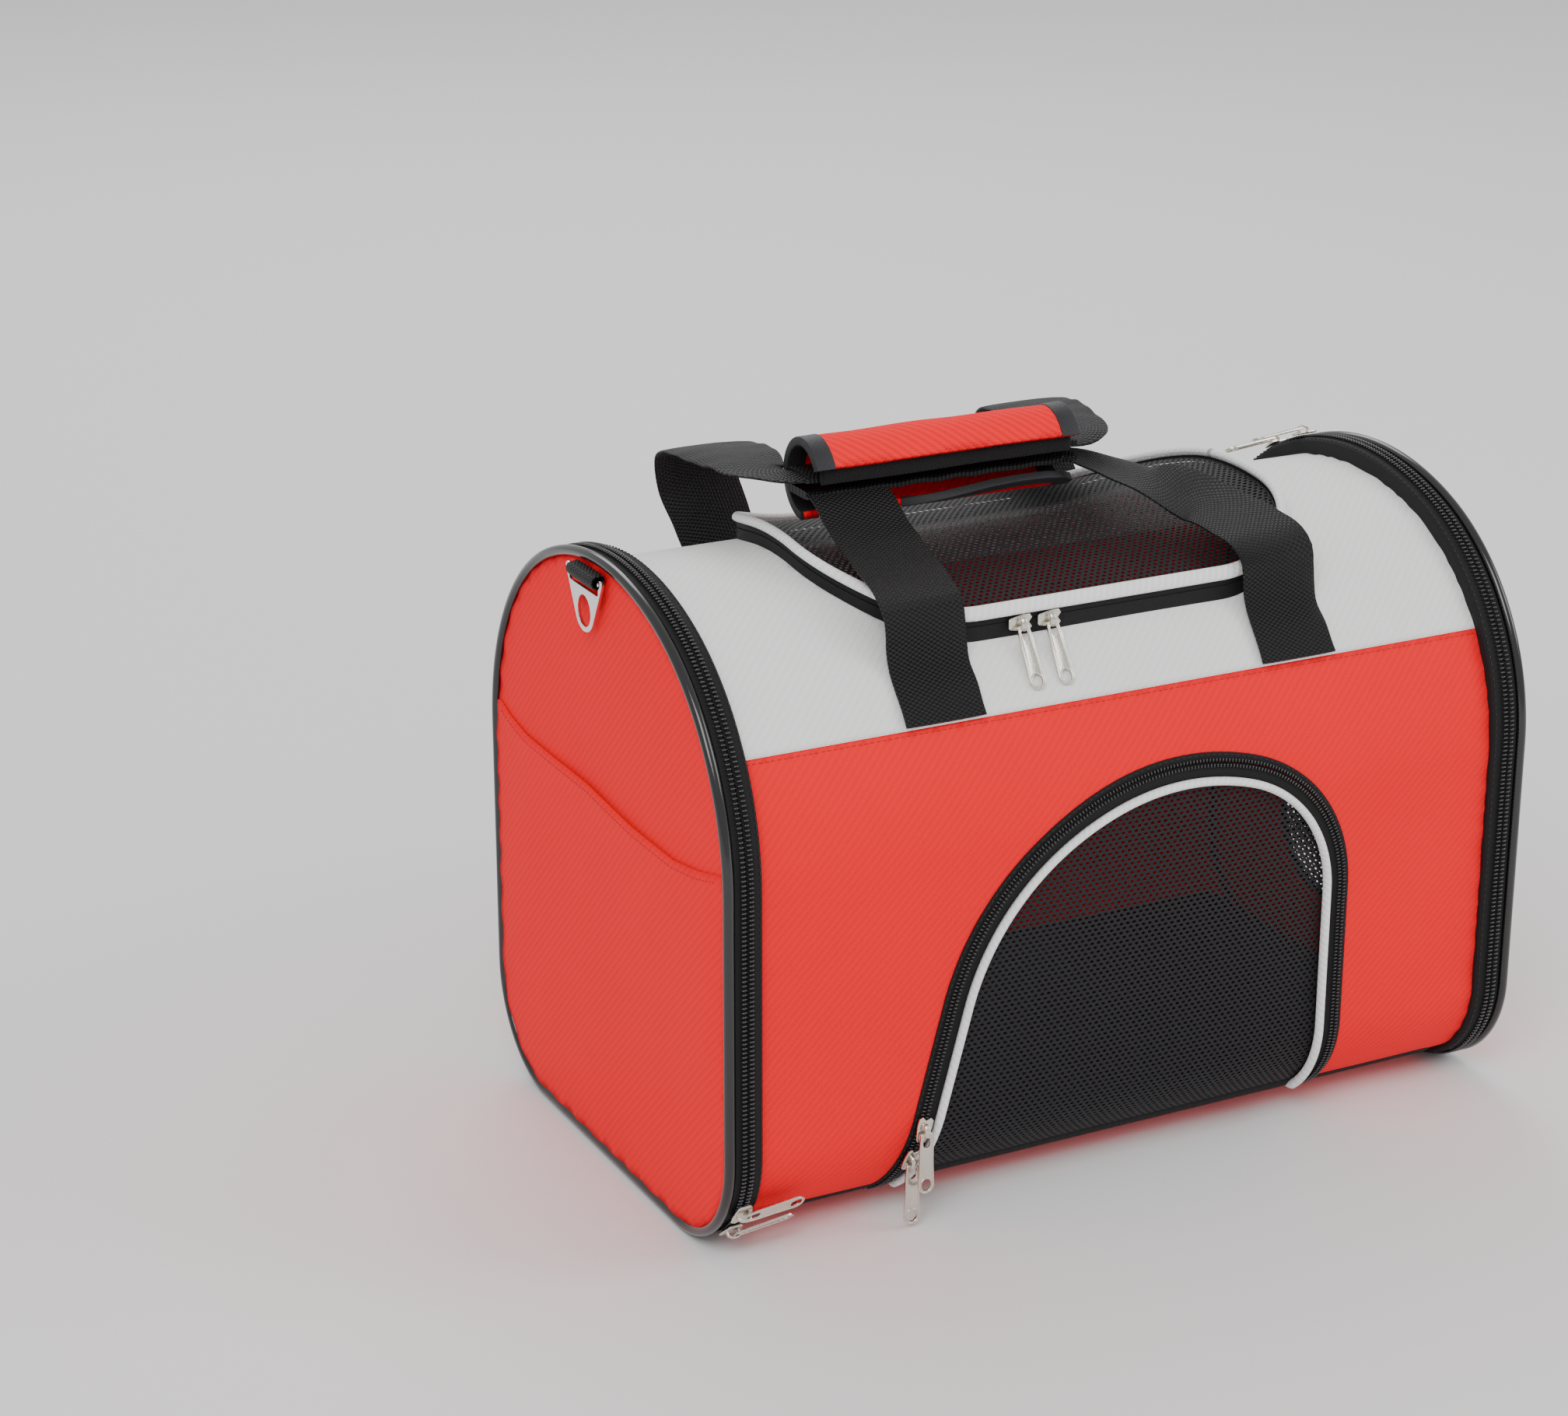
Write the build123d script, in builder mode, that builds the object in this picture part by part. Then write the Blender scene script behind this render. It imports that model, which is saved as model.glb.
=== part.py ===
from build123d import *
from math import atan2, cos, degrees, hypot, radians, sin, sqrt
import os

os.makedirs("parts", exist_ok=True)

# A soft pet carrier: an arched tunnel along X, closed by a zip-off door at each end,
# a mesh door in the front wall and a raised mesh hatch in the roof.
# X runs along the carrier, -Y is the front, Z is up. The origin is the centre of the base.
# All sizes are in millimetres.

# Overall sizes
length = 424.0
half_width = 127.6
height = 295.6
gap = 0.3                      # clearance between pieces that move apart
half = length / 2

# End rims: a wide arch, described by three arcs
shoulder_inset = 12.6
flatter = 30.0                 # how much larger the top arc's radius is than the shoulders'
shoulder_radius = half_width - shoulder_inset
rim = {"half_width": half_width, "bottom": 0.0, "top": height,
       "top_radius": shoulder_radius + flatter, "shoulder_radius": shoulder_radius,
       "corner_radius": 54.0}
# The fabric tunnel between the rims lies a little inside them
side_inset = 5.0
roof_sag = 10.0
roof_flatter = 5.0
tunnel = {"half_width": rim["half_width"] - side_inset, "bottom": rim["bottom"] + side_inset,
          "top": rim["top"] - roof_sag, "top_radius": rim["top_radius"] + roof_flatter,
          "shoulder_radius": rim["shoulder_radius"] - side_inset,
          "corner_radius": rim["corner_radius"] - side_inset}

# Walls
wall = 5.0
roof_band = 63.6               # from the top down to the seam with the coloured band
band_top = height - roof_band
base_inset = 35.6
base_half = half_width - base_inset     # half-width of the base between its two seams
board = 3.0
pad = 12.0
pad_inset = 4.0

# Zip chain around the end rims
piping_radius = 2.5
chain_in = 10.9                # chain centre line, in from the end of the carrier
coil = {"half": 3.55, "height": 2.0}
tape_depth = 2.0               # tape surface below the rim's outline
door_tape_width = 5.65
body_tape_width = 7.95
panel_thickness = 5.0
panel_recess = 1.5
hoop_width = 3.0
hoop_thickness = 1.4
binding_height = 4.6
zip_lift_off = 8.0             # end zips start this far round the corner from the hinge
pocket_height = 188.0
pocket_thickness = 1.2

# Window in the right-hand end
window_side = 63.6
window_top = 89.6
end_window = {"half_width": half_width - window_side, "low": 42.0, "high": height - window_top,
              "radius": 40.0}
window_rim = 6.0
mesh = 3.0

# Front door, an arch with one leaning leg, drawn on the chain's centre line
door_below_seam = 34.5
door = {"apex_x": 22.5, "top": band_top - door_below_seam, "radius": 125.0, "shoulder": 72.0,
        "right": 110.5, "lean": 15.1}
small_coil = {"half": 2.5, "height": 1.8}
small_tape = 0.8
small_tape_width = 6.0
piping_width = 4.6
piping_offset = 5.6            # piping's outer edge, in from the chain line
piping_height = 4.0

# Rear window
window_below_seam = 42.0
rear_window = {"apex_x": 0.0, "top": band_top - window_below_seam, "radius": 125.0, "shoulder": 72.0,
               "right": 108.0, "low": 46.0, "corner": 30.0}

# Roof hatch: the rim's outer face in plan, and levels above the roof fabric
hatch_side = 46.6
hatch_end = 88.0
hatch = {"half_x": half - hatch_end, "half_y": half_width - hatch_side, "radius": 60.0}
hatch_tape = 1.2
hatch_flange = 5.0
hatch_coil_depth = 2.0
split_level = 5.0
hatch_tape_top = 8.0
hatch_piping_top = 12.4
hatch_piping_width = 4.4
hatch_mesh_low = 5.4

# Webbing straps, sewn into the roof seams, and the wrapped grip
webbing = 40.0
webbing_thickness = 2.0
strap_left = -94.0
strap_right = 92.0
strap_lift = 1.4               # strap's lower end above the seam
front_rise = 80.1              # height of each strap's middle above its lower end
rear_rise = 87.6
bundle_width = 22.0
bundle_thickness = 4.0
grip = {"left": -112.0, "right": 24.0, "y": -4.0, "lift": 1.8, "half_y": 17.0, "half_z": 19.0,
        "skin": 3.5, "flap_left": -66.0, "mouth_low": 6.0, "mouth_high": 8.0, "mouth_y": 6.0}
fastener = 1.2

# D-rings on the end doors
ring_drop = 10.4
ring = {"y": 8.0, "z": height - ring_drop, "half_width": 17.0, "bar": 1.3, "ear": 2.0, "plate": 1.8,
        "drop": 16.5, "boss": 9.8, "hole": 7.3, "slot_low": 5.6}
tab_width = 28.0
tab_radius = 3.4
tab_hole = 1.8
tab_clear = 3.0                # loop's top below the inside of the piping

# Zip sliders and their pulls
slider = {"length": 12.0, "plate": 1.2, "flange": 1.0, "crown_length": 6.0,
          "crown_width": 2.4, "crown_height": 3.6, "crown_shift": 1.5, "pin_height": 1.9,
          "pin_hole": 1.0}
pull = {"pin": 0.65, "half_gap": 2.75, "arm": 1.1, "plate_start": 5.5, "end": 29.0,
        "width": 8.0, "thickness": 1.3, "window": 2.4, "window_in": 4.2}

# Where the sliders are parked: turns round the rim, heights and places along the hatch
left_park = (211.0, 228.0)
right_park = (69.8, 58.0)
front_park = (49.0, 33.5)
roof_park = (-44.0, -29.0)
roof_pull_lean = 33.5

chain_x = half - chain_in
wall_end = chain_x - gap / 2
door_start = chain_x + gap / 2
far = 400.0
up = (0, 0, 1)


def save(piece, name):
    piece.part.label = name
    export_step(piece.part, f"parts/{name}.step")


def keep_box(x0, x1, y0, y1, z0, z1, mode=Mode.INTERSECT):
    with Locations(((x0 + x1) / 2, (y0 + y1) / 2, (z0 + z1) / 2)):
        Box(x1 - x0, y1 - y0, z1 - z0, mode=mode)


def shoulder_centre(arch):
    # centre of the right shoulder arc, which meets the top arc smoothly
    y = arch["half_width"] - arch["shoulder_radius"]
    low = arch["top"] - arch["top_radius"]
    return y, low + sqrt((arch["top_radius"] - arch["shoulder_radius"]) ** 2 - y ** 2)


def arch_height(arch, y, rise=0.0):
    # height of the arch's shoulder at a distance y from the middle
    centre_y, centre_z = shoulder_centre(arch)
    radius = arch["shoulder_radius"] + rise
    return centre_z + sqrt(radius ** 2 - (abs(y) - centre_y) ** 2)


def arch_face(arch, inset=0.0, mode=Mode.ADD):
    # the arch's outline, moved in by inset, on a plane whose x is Y and whose y is Z
    side = arch["half_width"] - inset
    bottom = arch["bottom"] + inset
    corner = arch["corner_radius"] - inset
    top_low = arch["top"] - arch["top_radius"]
    centre_y, centre_z = shoulder_centre(arch)
    turn = degrees(atan2(centre_z - top_low, centre_y))
    shoulder = arch["shoulder_radius"] - inset
    with BuildLine() as outline:
        Line((corner - side, bottom), (side - corner, bottom))
        CenterArc((side - corner, bottom + corner), corner, -90, 90)
        Line((side, bottom + corner), (side, centre_z))
        CenterArc((centre_y, centre_z), shoulder, 0, turn)
        CenterArc((0, top_low), arch["top_radius"] - inset, turn, 180 - 2 * turn)
        CenterArc((-centre_y, centre_z), shoulder, 180 - turn, turn)
        Line((-side, centre_z), (-side, bottom + corner))
        CenterArc((corner - side, bottom + corner), corner, 180, 90)
    make_face(outline.edges(), mode=mode)


def arch_layer(arch, x0, x1, outer, inner):
    # the shell between two insets of an arch, from x0 to x1
    with BuildSketch(Plane.YZ.offset(x0)) as profile:
        arch_face(arch, outer)
        arch_face(arch, inner, Mode.SUBTRACT)
    extrude(profile.sketch, amount=x1 - x0)


def open_bottom():
    # takes away the stretch under the rim, where the door is hinged instead of zipped
    zip_start = rim["half_width"] - rim["corner_radius"] + zip_lift_off
    keep_box(-far, far, -zip_start, zip_start, -far, rim["corner_radius"], Mode.SUBTRACT)


def leg_outline(shape, offset, low, mode=Mode.ADD):
    # the front door's outline on a plane whose x is X and whose y is Z, moved out by offset
    top_z = shape["top"] - shape["radius"]
    side_x = shape["right"] - shape["shoulder"]
    reach = shape["radius"] - shape["shoulder"]
    side_z = top_z + sqrt(reach ** 2 - (side_x - shape["apex_x"]) ** 2)
    turn = degrees(atan2(side_z - top_z, side_x - shape["apex_x"]))
    lean = radians(shape["lean"])
    radius = shape["radius"] + offset
    leg_x = shape["apex_x"] - radius * cos(lean)
    leg_z = top_z + radius * sin(lean)
    foot_x = leg_x - (leg_z - low) * sin(lean) / cos(lean)
    right = shape["right"] + offset
    with BuildLine() as outline:
        Line((foot_x, low), (right, low))
        Line((right, low), (right, side_z))
        CenterArc((side_x, side_z), shape["shoulder"] + offset, 0, turn)
        CenterArc((shape["apex_x"], top_z), radius, turn, 180 - shape["lean"] - turn)
        Line((leg_x, leg_z), (foot_x, low))
    make_face(outline.edges(), mode=mode)


def rear_outline(shape, offset, mode=Mode.ADD):
    # the rear window's symmetrical outline, moved out by offset
    top_z = shape["top"] - shape["radius"]
    side_x = shape["right"] - shape["shoulder"]
    reach = shape["radius"] - shape["shoulder"]
    side_z = top_z + sqrt(reach ** 2 - side_x ** 2)
    turn = degrees(atan2(side_z - top_z, side_x))
    shoulder = shape["shoulder"] + offset
    right = shape["right"] + offset
    low = shape["low"] - offset
    # the corner fits under the shoulder
    corner = min(shape["corner"], 0.9 * (side_z - shape["low"])) + offset
    with BuildLine() as outline:
        Line((corner - right, low), (right - corner, low))
        CenterArc((right - corner, low + corner), corner, -90, 90)
        Line((right, low + corner), (right, side_z))
        CenterArc((side_x, side_z), shoulder, 0, turn)
        CenterArc((0, top_z), shape["radius"] + offset, turn, 180 - 2 * turn)
        CenterArc((-side_x, side_z), shoulder, 180 - turn, turn)
        Line((-right, side_z), (-right, low + corner))
        CenterArc((corner - right, low + corner), corner, 180, 90)
    make_face(outline.edges(), mode=mode)


def front_region(back=0.0):
    # the front of the tunnel, between the base seam and the roof seam
    keep_box(-far, far, -far, -base_half - back, -far, band_top)


def front_ring(outer, inner, low, high):
    # a strip that follows the front door's outline on the wall, between two heights above it
    arch_layer(tunnel, -half, half, -high, -low)
    with BuildSketch(Plane.XZ) as profile:
        leg_outline(door, outer, -far)
        leg_outline(door, inner, -far, Mode.SUBTRACT)
    extrude(profile.sketch, amount=far, mode=Mode.INTERSECT)


def hatch_plan(offset, mode=Mode.ADD):
    RectangleRounded(2 * (hatch["half_x"] + offset), 2 * (hatch["half_y"] + offset),
                     hatch["radius"] + offset, mode=mode)


def hatch_ring(outer, inner, low, high):
    # a strip that follows the hatch's outline on the roof, between two heights above it
    arch_layer(tunnel, -half, half, -high, -low)
    with BuildSketch(Plane.XY.offset(band_top)) as profile:
        hatch_plan(outer)
        hatch_plan(inner, Mode.SUBTRACT)
    extrude(profile.sketch, amount=far, mode=Mode.INTERSECT)


# --- Tunnel walls ---

def make_walls():
    with BuildPart() as front_wall:
        arch_layer(tunnel, -wall_end, wall_end, 0, wall)
        front_region()
        with BuildSketch(Plane.XZ):
            leg_outline(door, gap / 2, -far)
        extrude(amount=far, mode=Mode.SUBTRACT)
    save(front_wall, "front_wall")

    with BuildPart() as rear_wall:
        arch_layer(tunnel, -wall_end, wall_end, 0, wall)
        keep_box(-far, far, base_half, far, -far, band_top)
        with BuildSketch(Plane.XZ):
            rear_outline(rear_window, 0)
        extrude(amount=-far, mode=Mode.SUBTRACT)
    save(rear_wall, "rear_wall")

    with BuildPart() as roof_panel:
        arch_layer(tunnel, -wall_end, wall_end, 0, wall)
        keep_box(-far, far, -far, far, band_top, far)
        with BuildSketch(Plane.XY.offset(band_top)):
            hatch_plan(-hatch_tape)
        extrude(amount=far, mode=Mode.SUBTRACT)
    save(roof_panel, "roof_panel")

    with BuildPart() as base_panel:
        arch_layer(tunnel, -wall_end, wall_end, 0, wall)
        keep_box(-far, far, -base_half, base_half, -far, rim["half_width"])
    save(base_panel, "base_panel")


def make_floor():
    # a stiff board lies in the base and a loose pad lies on the board
    flat = tunnel["half_width"] - tunnel["corner_radius"]
    board_z = tunnel["bottom"] + wall
    board_x = wall_end - pad_inset
    with BuildPart() as base_board:
        with BuildSketch(Plane.XY.offset(board_z)):
            Rectangle(2 * board_x, 2 * flat)
        extrude(amount=board)
    save(base_board, "base_board")

    with BuildPart() as floor_pad:
        with BuildSketch(Plane.YZ.offset(-board_x)):
            arch_face(tunnel, wall + gap)
        extrude(amount=2 * board_x)
        keep_box(-far, far, -far, far, board_z + board, board_z + board + pad)
    save(floor_pad, "floor_pad")


def make_rear_window():
    with BuildPart() as rear_mesh:
        arch_layer(tunnel, -half, half, 0, mesh)
        with BuildSketch(Plane.XZ):
            rear_outline(rear_window, 0)
        extrude(amount=-far, mode=Mode.INTERSECT)
        keep_box(-far, far, base_half, far, -far, band_top)
    save(rear_mesh, "rear_window_mesh")

    with BuildPart() as rear_piping:
        arch_layer(tunnel, -half, half, -piping_height, 0)
        with BuildSketch(Plane.XZ):
            rear_outline(rear_window, piping_width / 2)
            rear_outline(rear_window, -piping_width / 2, Mode.SUBTRACT)
        extrude(amount=-far, mode=Mode.INTERSECT)
        keep_box(-far, far, base_half, far, -far, band_top)
    save(rear_piping, "rear_window_piping")


# --- End rims ---

def hoop_strip(side):
    inner = min(side * (wall_end - hoop_width), side * (wall_end - 2 * hoop_width))
    arch_layer(rim, inner, inner + hoop_width, tape_depth + 1, tape_depth + 1 + hoop_thickness)
    open_bottom()


def make_rim(side, hand):
    # the tunnel's half of the zip, with a spring-steel hoop inside its sleeve
    tape_start = wall_end - body_tape_width
    with BuildPart() as hoop:
        hoop_strip(side)
    with BuildPart() as body_tape:
        with BuildSketch(Plane.YZ.offset(side * tape_start)):
            arch_face(rim, tape_depth)
            arch_face(tunnel, 0, Mode.SUBTRACT)
        extrude(amount=side * body_tape_width)
        open_bottom()
        add(hoop.part, mode=Mode.SUBTRACT)
    save(body_tape, f"{hand}_body_tape")


def make_hoops():
    with BuildPart() as end_hoops:
        hoop_strip(-1)
        hoop_strip(1)
    save(end_hoops, "end_hoops")


def make_end_coils():
    with BuildPart() as end_body_coils:
        for side in (-1, 1):
            inner = min(side * wall_end, side * (wall_end - coil["half"]))
            arch_layer(rim, inner, inner + coil["half"], 0, coil["height"])
        open_bottom()
    save(end_body_coils, "end_body_coils")


def make_hinge_bindings():
    # a bound strip under each end, on which the carrier stands and the door is hinged
    flat = rim["half_width"] - rim["corner_radius"] - gap
    start = wall_end - body_tape_width
    end = half - 2 * piping_radius - gap
    with BuildPart() as hinge_bindings:
        with Locations((-(start + end) / 2, 0, binding_height / 2),
                       ((start + end) / 2, 0, binding_height / 2)):
            Box(end - start, 2 * flat, binding_height)
    save(hinge_bindings, "hinge_bindings")


# --- End doors ---

def make_end_trim(side, hand):
    # the door's half of the zip and the glossy piping round its edge
    with BuildPart() as door_coil:
        inner = min(side * door_start, side * (door_start + coil["half"]))
        arch_layer(rim, inner, inner + coil["half"], 0, coil["height"])
        open_bottom()
    save(door_coil, f"{hand}_door_coil")

    with BuildPart() as door_tape:
        inner = min(side * door_start, side * (door_start + door_tape_width))
        arch_layer(rim, inner, inner + door_tape_width, tape_depth, 2 * piping_radius)
        open_bottom()
    save(door_tape, f"{hand}_door_tape")

    middle = half - piping_radius
    with BuildPart() as piping:
        with BuildLine(Plane.YZ.offset(side * middle)) as path:
            side_y = rim["half_width"] - piping_radius
            corner = rim["corner_radius"] - piping_radius
            bottom = rim["bottom"] + piping_radius
            top_low = rim["top"] - rim["top_radius"]
            centre_y, centre_z = shoulder_centre(rim)
            turn = degrees(atan2(centre_z - top_low, centre_y))
            shoulder = rim["shoulder_radius"] - piping_radius
            Line((0, bottom), (side_y - corner, bottom))
            CenterArc((side_y - corner, bottom + corner), corner, -90, 90)
            Line((side_y, bottom + corner), (side_y, centre_z))
            CenterArc((centre_y, centre_z), shoulder, 0, turn)
            CenterArc((0, top_low), rim["top_radius"] - piping_radius, turn, 180 - 2 * turn)
            CenterArc((-centre_y, centre_z), shoulder, 180 - turn, turn)
            Line((-side_y, centre_z), (-side_y, bottom + corner))
            CenterArc((corner - side_y, bottom + corner), corner, 180, 90)
            Line((corner - side_y, bottom), (0, bottom))
        with BuildSketch(Plane.XZ):
            with Locations((side * middle, bottom)):
                Circle(piping_radius)
        sweep(path=path.line)
    save(piping, f"{hand}_end_piping")


def end_window_outline(offset, mode=Mode.ADD):
    width = 2 * (end_window["half_width"] + offset)
    height = end_window["high"] - end_window["low"] + 2 * offset
    with Locations((0, (end_window["low"] + end_window["high"]) / 2)):
        RectangleRounded(width, height, end_window["radius"] + offset, mode=mode)


def make_left_end():
    outside = -(half - panel_recess)
    with BuildPart() as panel:
        with BuildSketch(Plane.YZ.offset(outside)):
            arch_face(rim, 2 * piping_radius)
        extrude(amount=panel_thickness)
    save(panel, "left_end_panel")

    with BuildPart() as pocket:
        with BuildSketch(Plane.YZ.offset(outside - pocket_thickness)):
            arch_face(rim, 2 * piping_radius)
            with Locations((0, pocket_height)):
                Rectangle(far, far, align=(Align.CENTER, Align.MIN), mode=Mode.SUBTRACT)
        extrude(amount=pocket_thickness)
    save(pocket, "left_pocket")


def make_right_end():
    outside = half - panel_recess
    inside = outside - panel_thickness
    with BuildPart() as panel:
        with BuildSketch(Plane.YZ.offset(inside)):
            arch_face(rim, 2 * piping_radius)
            end_window_outline(0, Mode.SUBTRACT)
        extrude(amount=panel_thickness)
    save(panel, "right_end_panel")

    with BuildPart() as window_mesh:
        with BuildSketch(Plane.YZ.offset(inside + (panel_thickness - mesh) / 2)):
            end_window_outline(0)
        extrude(amount=mesh)
    save(window_mesh, "right_window_mesh")

    with BuildPart() as binding:
        with BuildSketch(Plane.YZ.offset(outside)):
            end_window_outline(window_rim)
            end_window_outline(-window_rim / 2, Mode.SUBTRACT)
        extrude(amount=panel_recess / 2)
    save(binding, "right_window_binding")


def make_ring(side, hand):
    # a flat three-cornered ring, hung by its bar from a loop of webbing
    face = half - panel_recess
    bar_x = side * (face + tab_radius)
    hang = Plane(origin=(bar_x, ring["y"], ring["z"]), x_dir=(0, 1, 0), z_dir=(1, 0, 0))
    with BuildPart(hang) as plate:
        with BuildSketch(hang.offset(-ring["plate"] / 2)):
            with Locations((ring["half_width"], 0), (-ring["half_width"], 0)):
                Circle(ring["ear"])
            with Locations((0, -ring["drop"])):
                Circle(ring["boss"])
            make_hull()
            with Locations((0, -ring["drop"])):
                Circle(ring["hole"], mode=Mode.SUBTRACT)
            with Locations((0, (ring["ear"] + gap - ring["slot_low"]) / 2)):
                Rectangle(2 * ring["half_width"] - 3, ring["ear"] + gap + ring["slot_low"],
                          mode=Mode.SUBTRACT)
        extrude(amount=ring["plate"])
        Cylinder(ring["bar"], 2 * ring["half_width"] - 2, rotation=(0, 90, 0))
    save(plate, f"{hand}_ring")

    with BuildPart() as tab:
        with BuildSketch(Plane.XZ.offset(-ring["y"] - tab_width / 2)):
            with Locations((bar_x, ring["z"])):
                Circle(tab_radius)
            top = rim["top"] - 2 * piping_radius - tab_clear
            with Locations((bar_x, (top + ring["z"]) / 2)):
                Rectangle(2 * tab_radius, top - ring["z"])
            with Locations((bar_x, ring["z"])):
                Circle(tab_hole, mode=Mode.SUBTRACT)
        extrude(amount=tab_width)
    save(tab, f"{hand}_ring_tab")


# --- Front door ---

def make_front_door():
    chain = -gap / 2
    with BuildPart() as body_tape:
        front_ring(small_tape_width, gap / 2, 0, small_tape)
        front_region()
    save(body_tape, "front_body_tape")

    with BuildPart() as body_coil:
        front_ring(small_coil["half"], gap / 2, small_tape, small_tape + small_coil["height"])
        front_region()
    save(body_coil, "front_body_coil")

    with BuildPart() as door_mesh:
        arch_layer(tunnel, -half, half, 0, mesh)
        with BuildSketch(Plane.XZ):
            leg_outline(door, chain, -far)
        extrude(amount=far, mode=Mode.INTERSECT)
        front_region(gap)
    save(door_mesh, "front_door_mesh")

    with BuildPart() as door_tape:
        front_ring(chain, -piping_offset, 0, small_tape)
        front_region(gap)
    save(door_tape, "front_door_tape")

    with BuildPart() as door_coil:
        front_ring(chain, -small_coil["half"], small_tape, small_tape + small_coil["height"])
        front_region(gap)
    save(door_coil, "front_door_coil")

    with BuildPart() as door_piping:
        front_ring(-piping_offset, -piping_offset - piping_width, 0, piping_height)
        front_region(gap)
    save(door_piping, "front_door_piping")


# --- Roof hatch ---

def make_hatch():
    low = split_level - gap / 2
    high = split_level + gap / 2
    with BuildPart() as flange:
        hatch_ring(hatch_flange, 0, 0, small_tape)
    with BuildPart() as body_tape:
        hatch_ring(0, -hatch_tape, 0, low)
        add(flange.part)
    save(body_tape, "roof_body_tape")

    with BuildPart() as body_coil:
        hatch_ring(hatch_coil_depth, 0, low - small_coil["half"], low)
    save(body_coil, "roof_body_coil")

    with BuildPart() as door_coil:
        hatch_ring(hatch_coil_depth, 0, high, high + small_coil["half"])
    save(door_coil, "roof_door_coil")

    with BuildPart() as door_tape:
        hatch_ring(0, -hatch_tape, high, hatch_tape_top)
    save(door_tape, "roof_door_tape")

    with BuildPart() as door_piping:
        hatch_ring(hatch_coil_depth / 2, -hatch_piping_width + hatch_coil_depth / 2,
                   hatch_tape_top, hatch_piping_top)
    save(door_piping, "roof_door_piping")

    with BuildPart() as door_mesh:
        arch_layer(tunnel, -half, half, -hatch_tape_top, -hatch_mesh_low)
        with BuildSketch(Plane.XY.offset(band_top)):
            hatch_plan(-hatch_tape)
        extrude(amount=far, mode=Mode.INTERSECT)
    save(door_mesh, "roof_door_mesh")



# --- Straps and grip ---

def strap_leg(stations):
    # a flat strap lofted through stations of x, y, z, width and the direction across it
    points = [Vector(*station[:3]) for station in stations]
    sections = []
    for index, station in enumerate(stations):
        ahead = points[min(index + 1, len(points) - 1)]
        behind = points[max(index - 1, 0)]
        along = (ahead - behind).normalized()
        across = Vector(*station[4])
        across = across - along * across.dot(along)
        with BuildSketch(Plane(points[index], x_dir=across, z_dir=along)) as section:
            Rectangle(station[3], webbing_thickness)
        sections.append(section.sketch.face())
    loft(sections, ruled=True)


def seam_point():
    # how far out and how high the middle of a strap's lower end lies
    centre_y, centre_z = shoulder_centre(tunnel)
    radius = tunnel["shoulder_radius"] + webbing_thickness / 2 + gap
    z = band_top + strap_lift
    return centre_y + sqrt(radius ** 2 - (z - centre_z) ** 2), z


def rim_climb(x):
    # a front strap follows the roof, then steps up and over the hatch's rim
    rise = webbing_thickness / 2 + gap
    out, seam_z = seam_point()
    wall_y = hatch["half_y"] + hatch_coil_depth
    foot_y = wall_y + 7.5
    foot_z = arch_height(tunnel, foot_y, rise)
    mid_y = (out + foot_y) / 2
    top_z = arch_height(tunnel, hatch["half_y"] + 1, hatch_piping_top)
    climb = [(out, seam_z), (mid_y, arch_height(tunnel, mid_y, rise)), (foot_y, foot_z),
             (wall_y + 4.6, foot_z + 9), (wall_y + 3.2, top_z - 4), (wall_y + 1, top_z + 3.4)]
    return [(x, -y, z, webbing, (1, 0, 0)) for y, z in climb]


def make_front_strap():
    out, seam_z = seam_point()
    top_z = arch_height(tunnel, hatch["half_y"] + 1, hatch_piping_top)
    over_y = hatch["half_y"] - 5
    inner_y = over_y - 26
    high = seam_z + front_rise
    left = rim_climb(strap_left)
    for y, z in ((-over_y, top_z + 10.6), (-inner_y, top_z + 20.6),
                 (grip["y"] - 28, high - 10.5), (grip["y"] - 16, high - 3), (grip["y"] - 8, high)):
        left.append((strap_left, y, z, webbing, (1, 0, 0)))
    right = rim_climb(strap_right)
    reach = strap_right - grip["right"]
    right.append((grip["right"] + 0.96 * reach, -over_y, top_z + 10.6, webbing, (1, 0, 0)))
    right.append((grip["right"] + 0.76 * reach, 5 - inner_y, top_z + 20, webbing, (1, 0.1, 0)))
    right.append((grip["right"] + 0.47 * reach, grip["y"] - 30, high - 11, 36, (1, 0.4, 0)))
    right.append((grip["right"] + 0.2 * reach, grip["y"] - 11, high - 4, 29, (0.8, 0.7, 0)))
    right.append((grip["right"] + 1, grip["y"] - 1, high, bundle_width, (0.2, 1, 0)))
    bundle_left = grip["left"] - 2
    bundle_right = grip["right"] + 2
    with BuildPart() as front_strap:
        strap_leg(left)
        strap_leg(right)
        with Locations(((bundle_left + bundle_right) / 2, grip["y"], high)):
            Box(bundle_right - bundle_left, bundle_width, bundle_thickness)
    save(front_strap, "front_strap")


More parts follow.
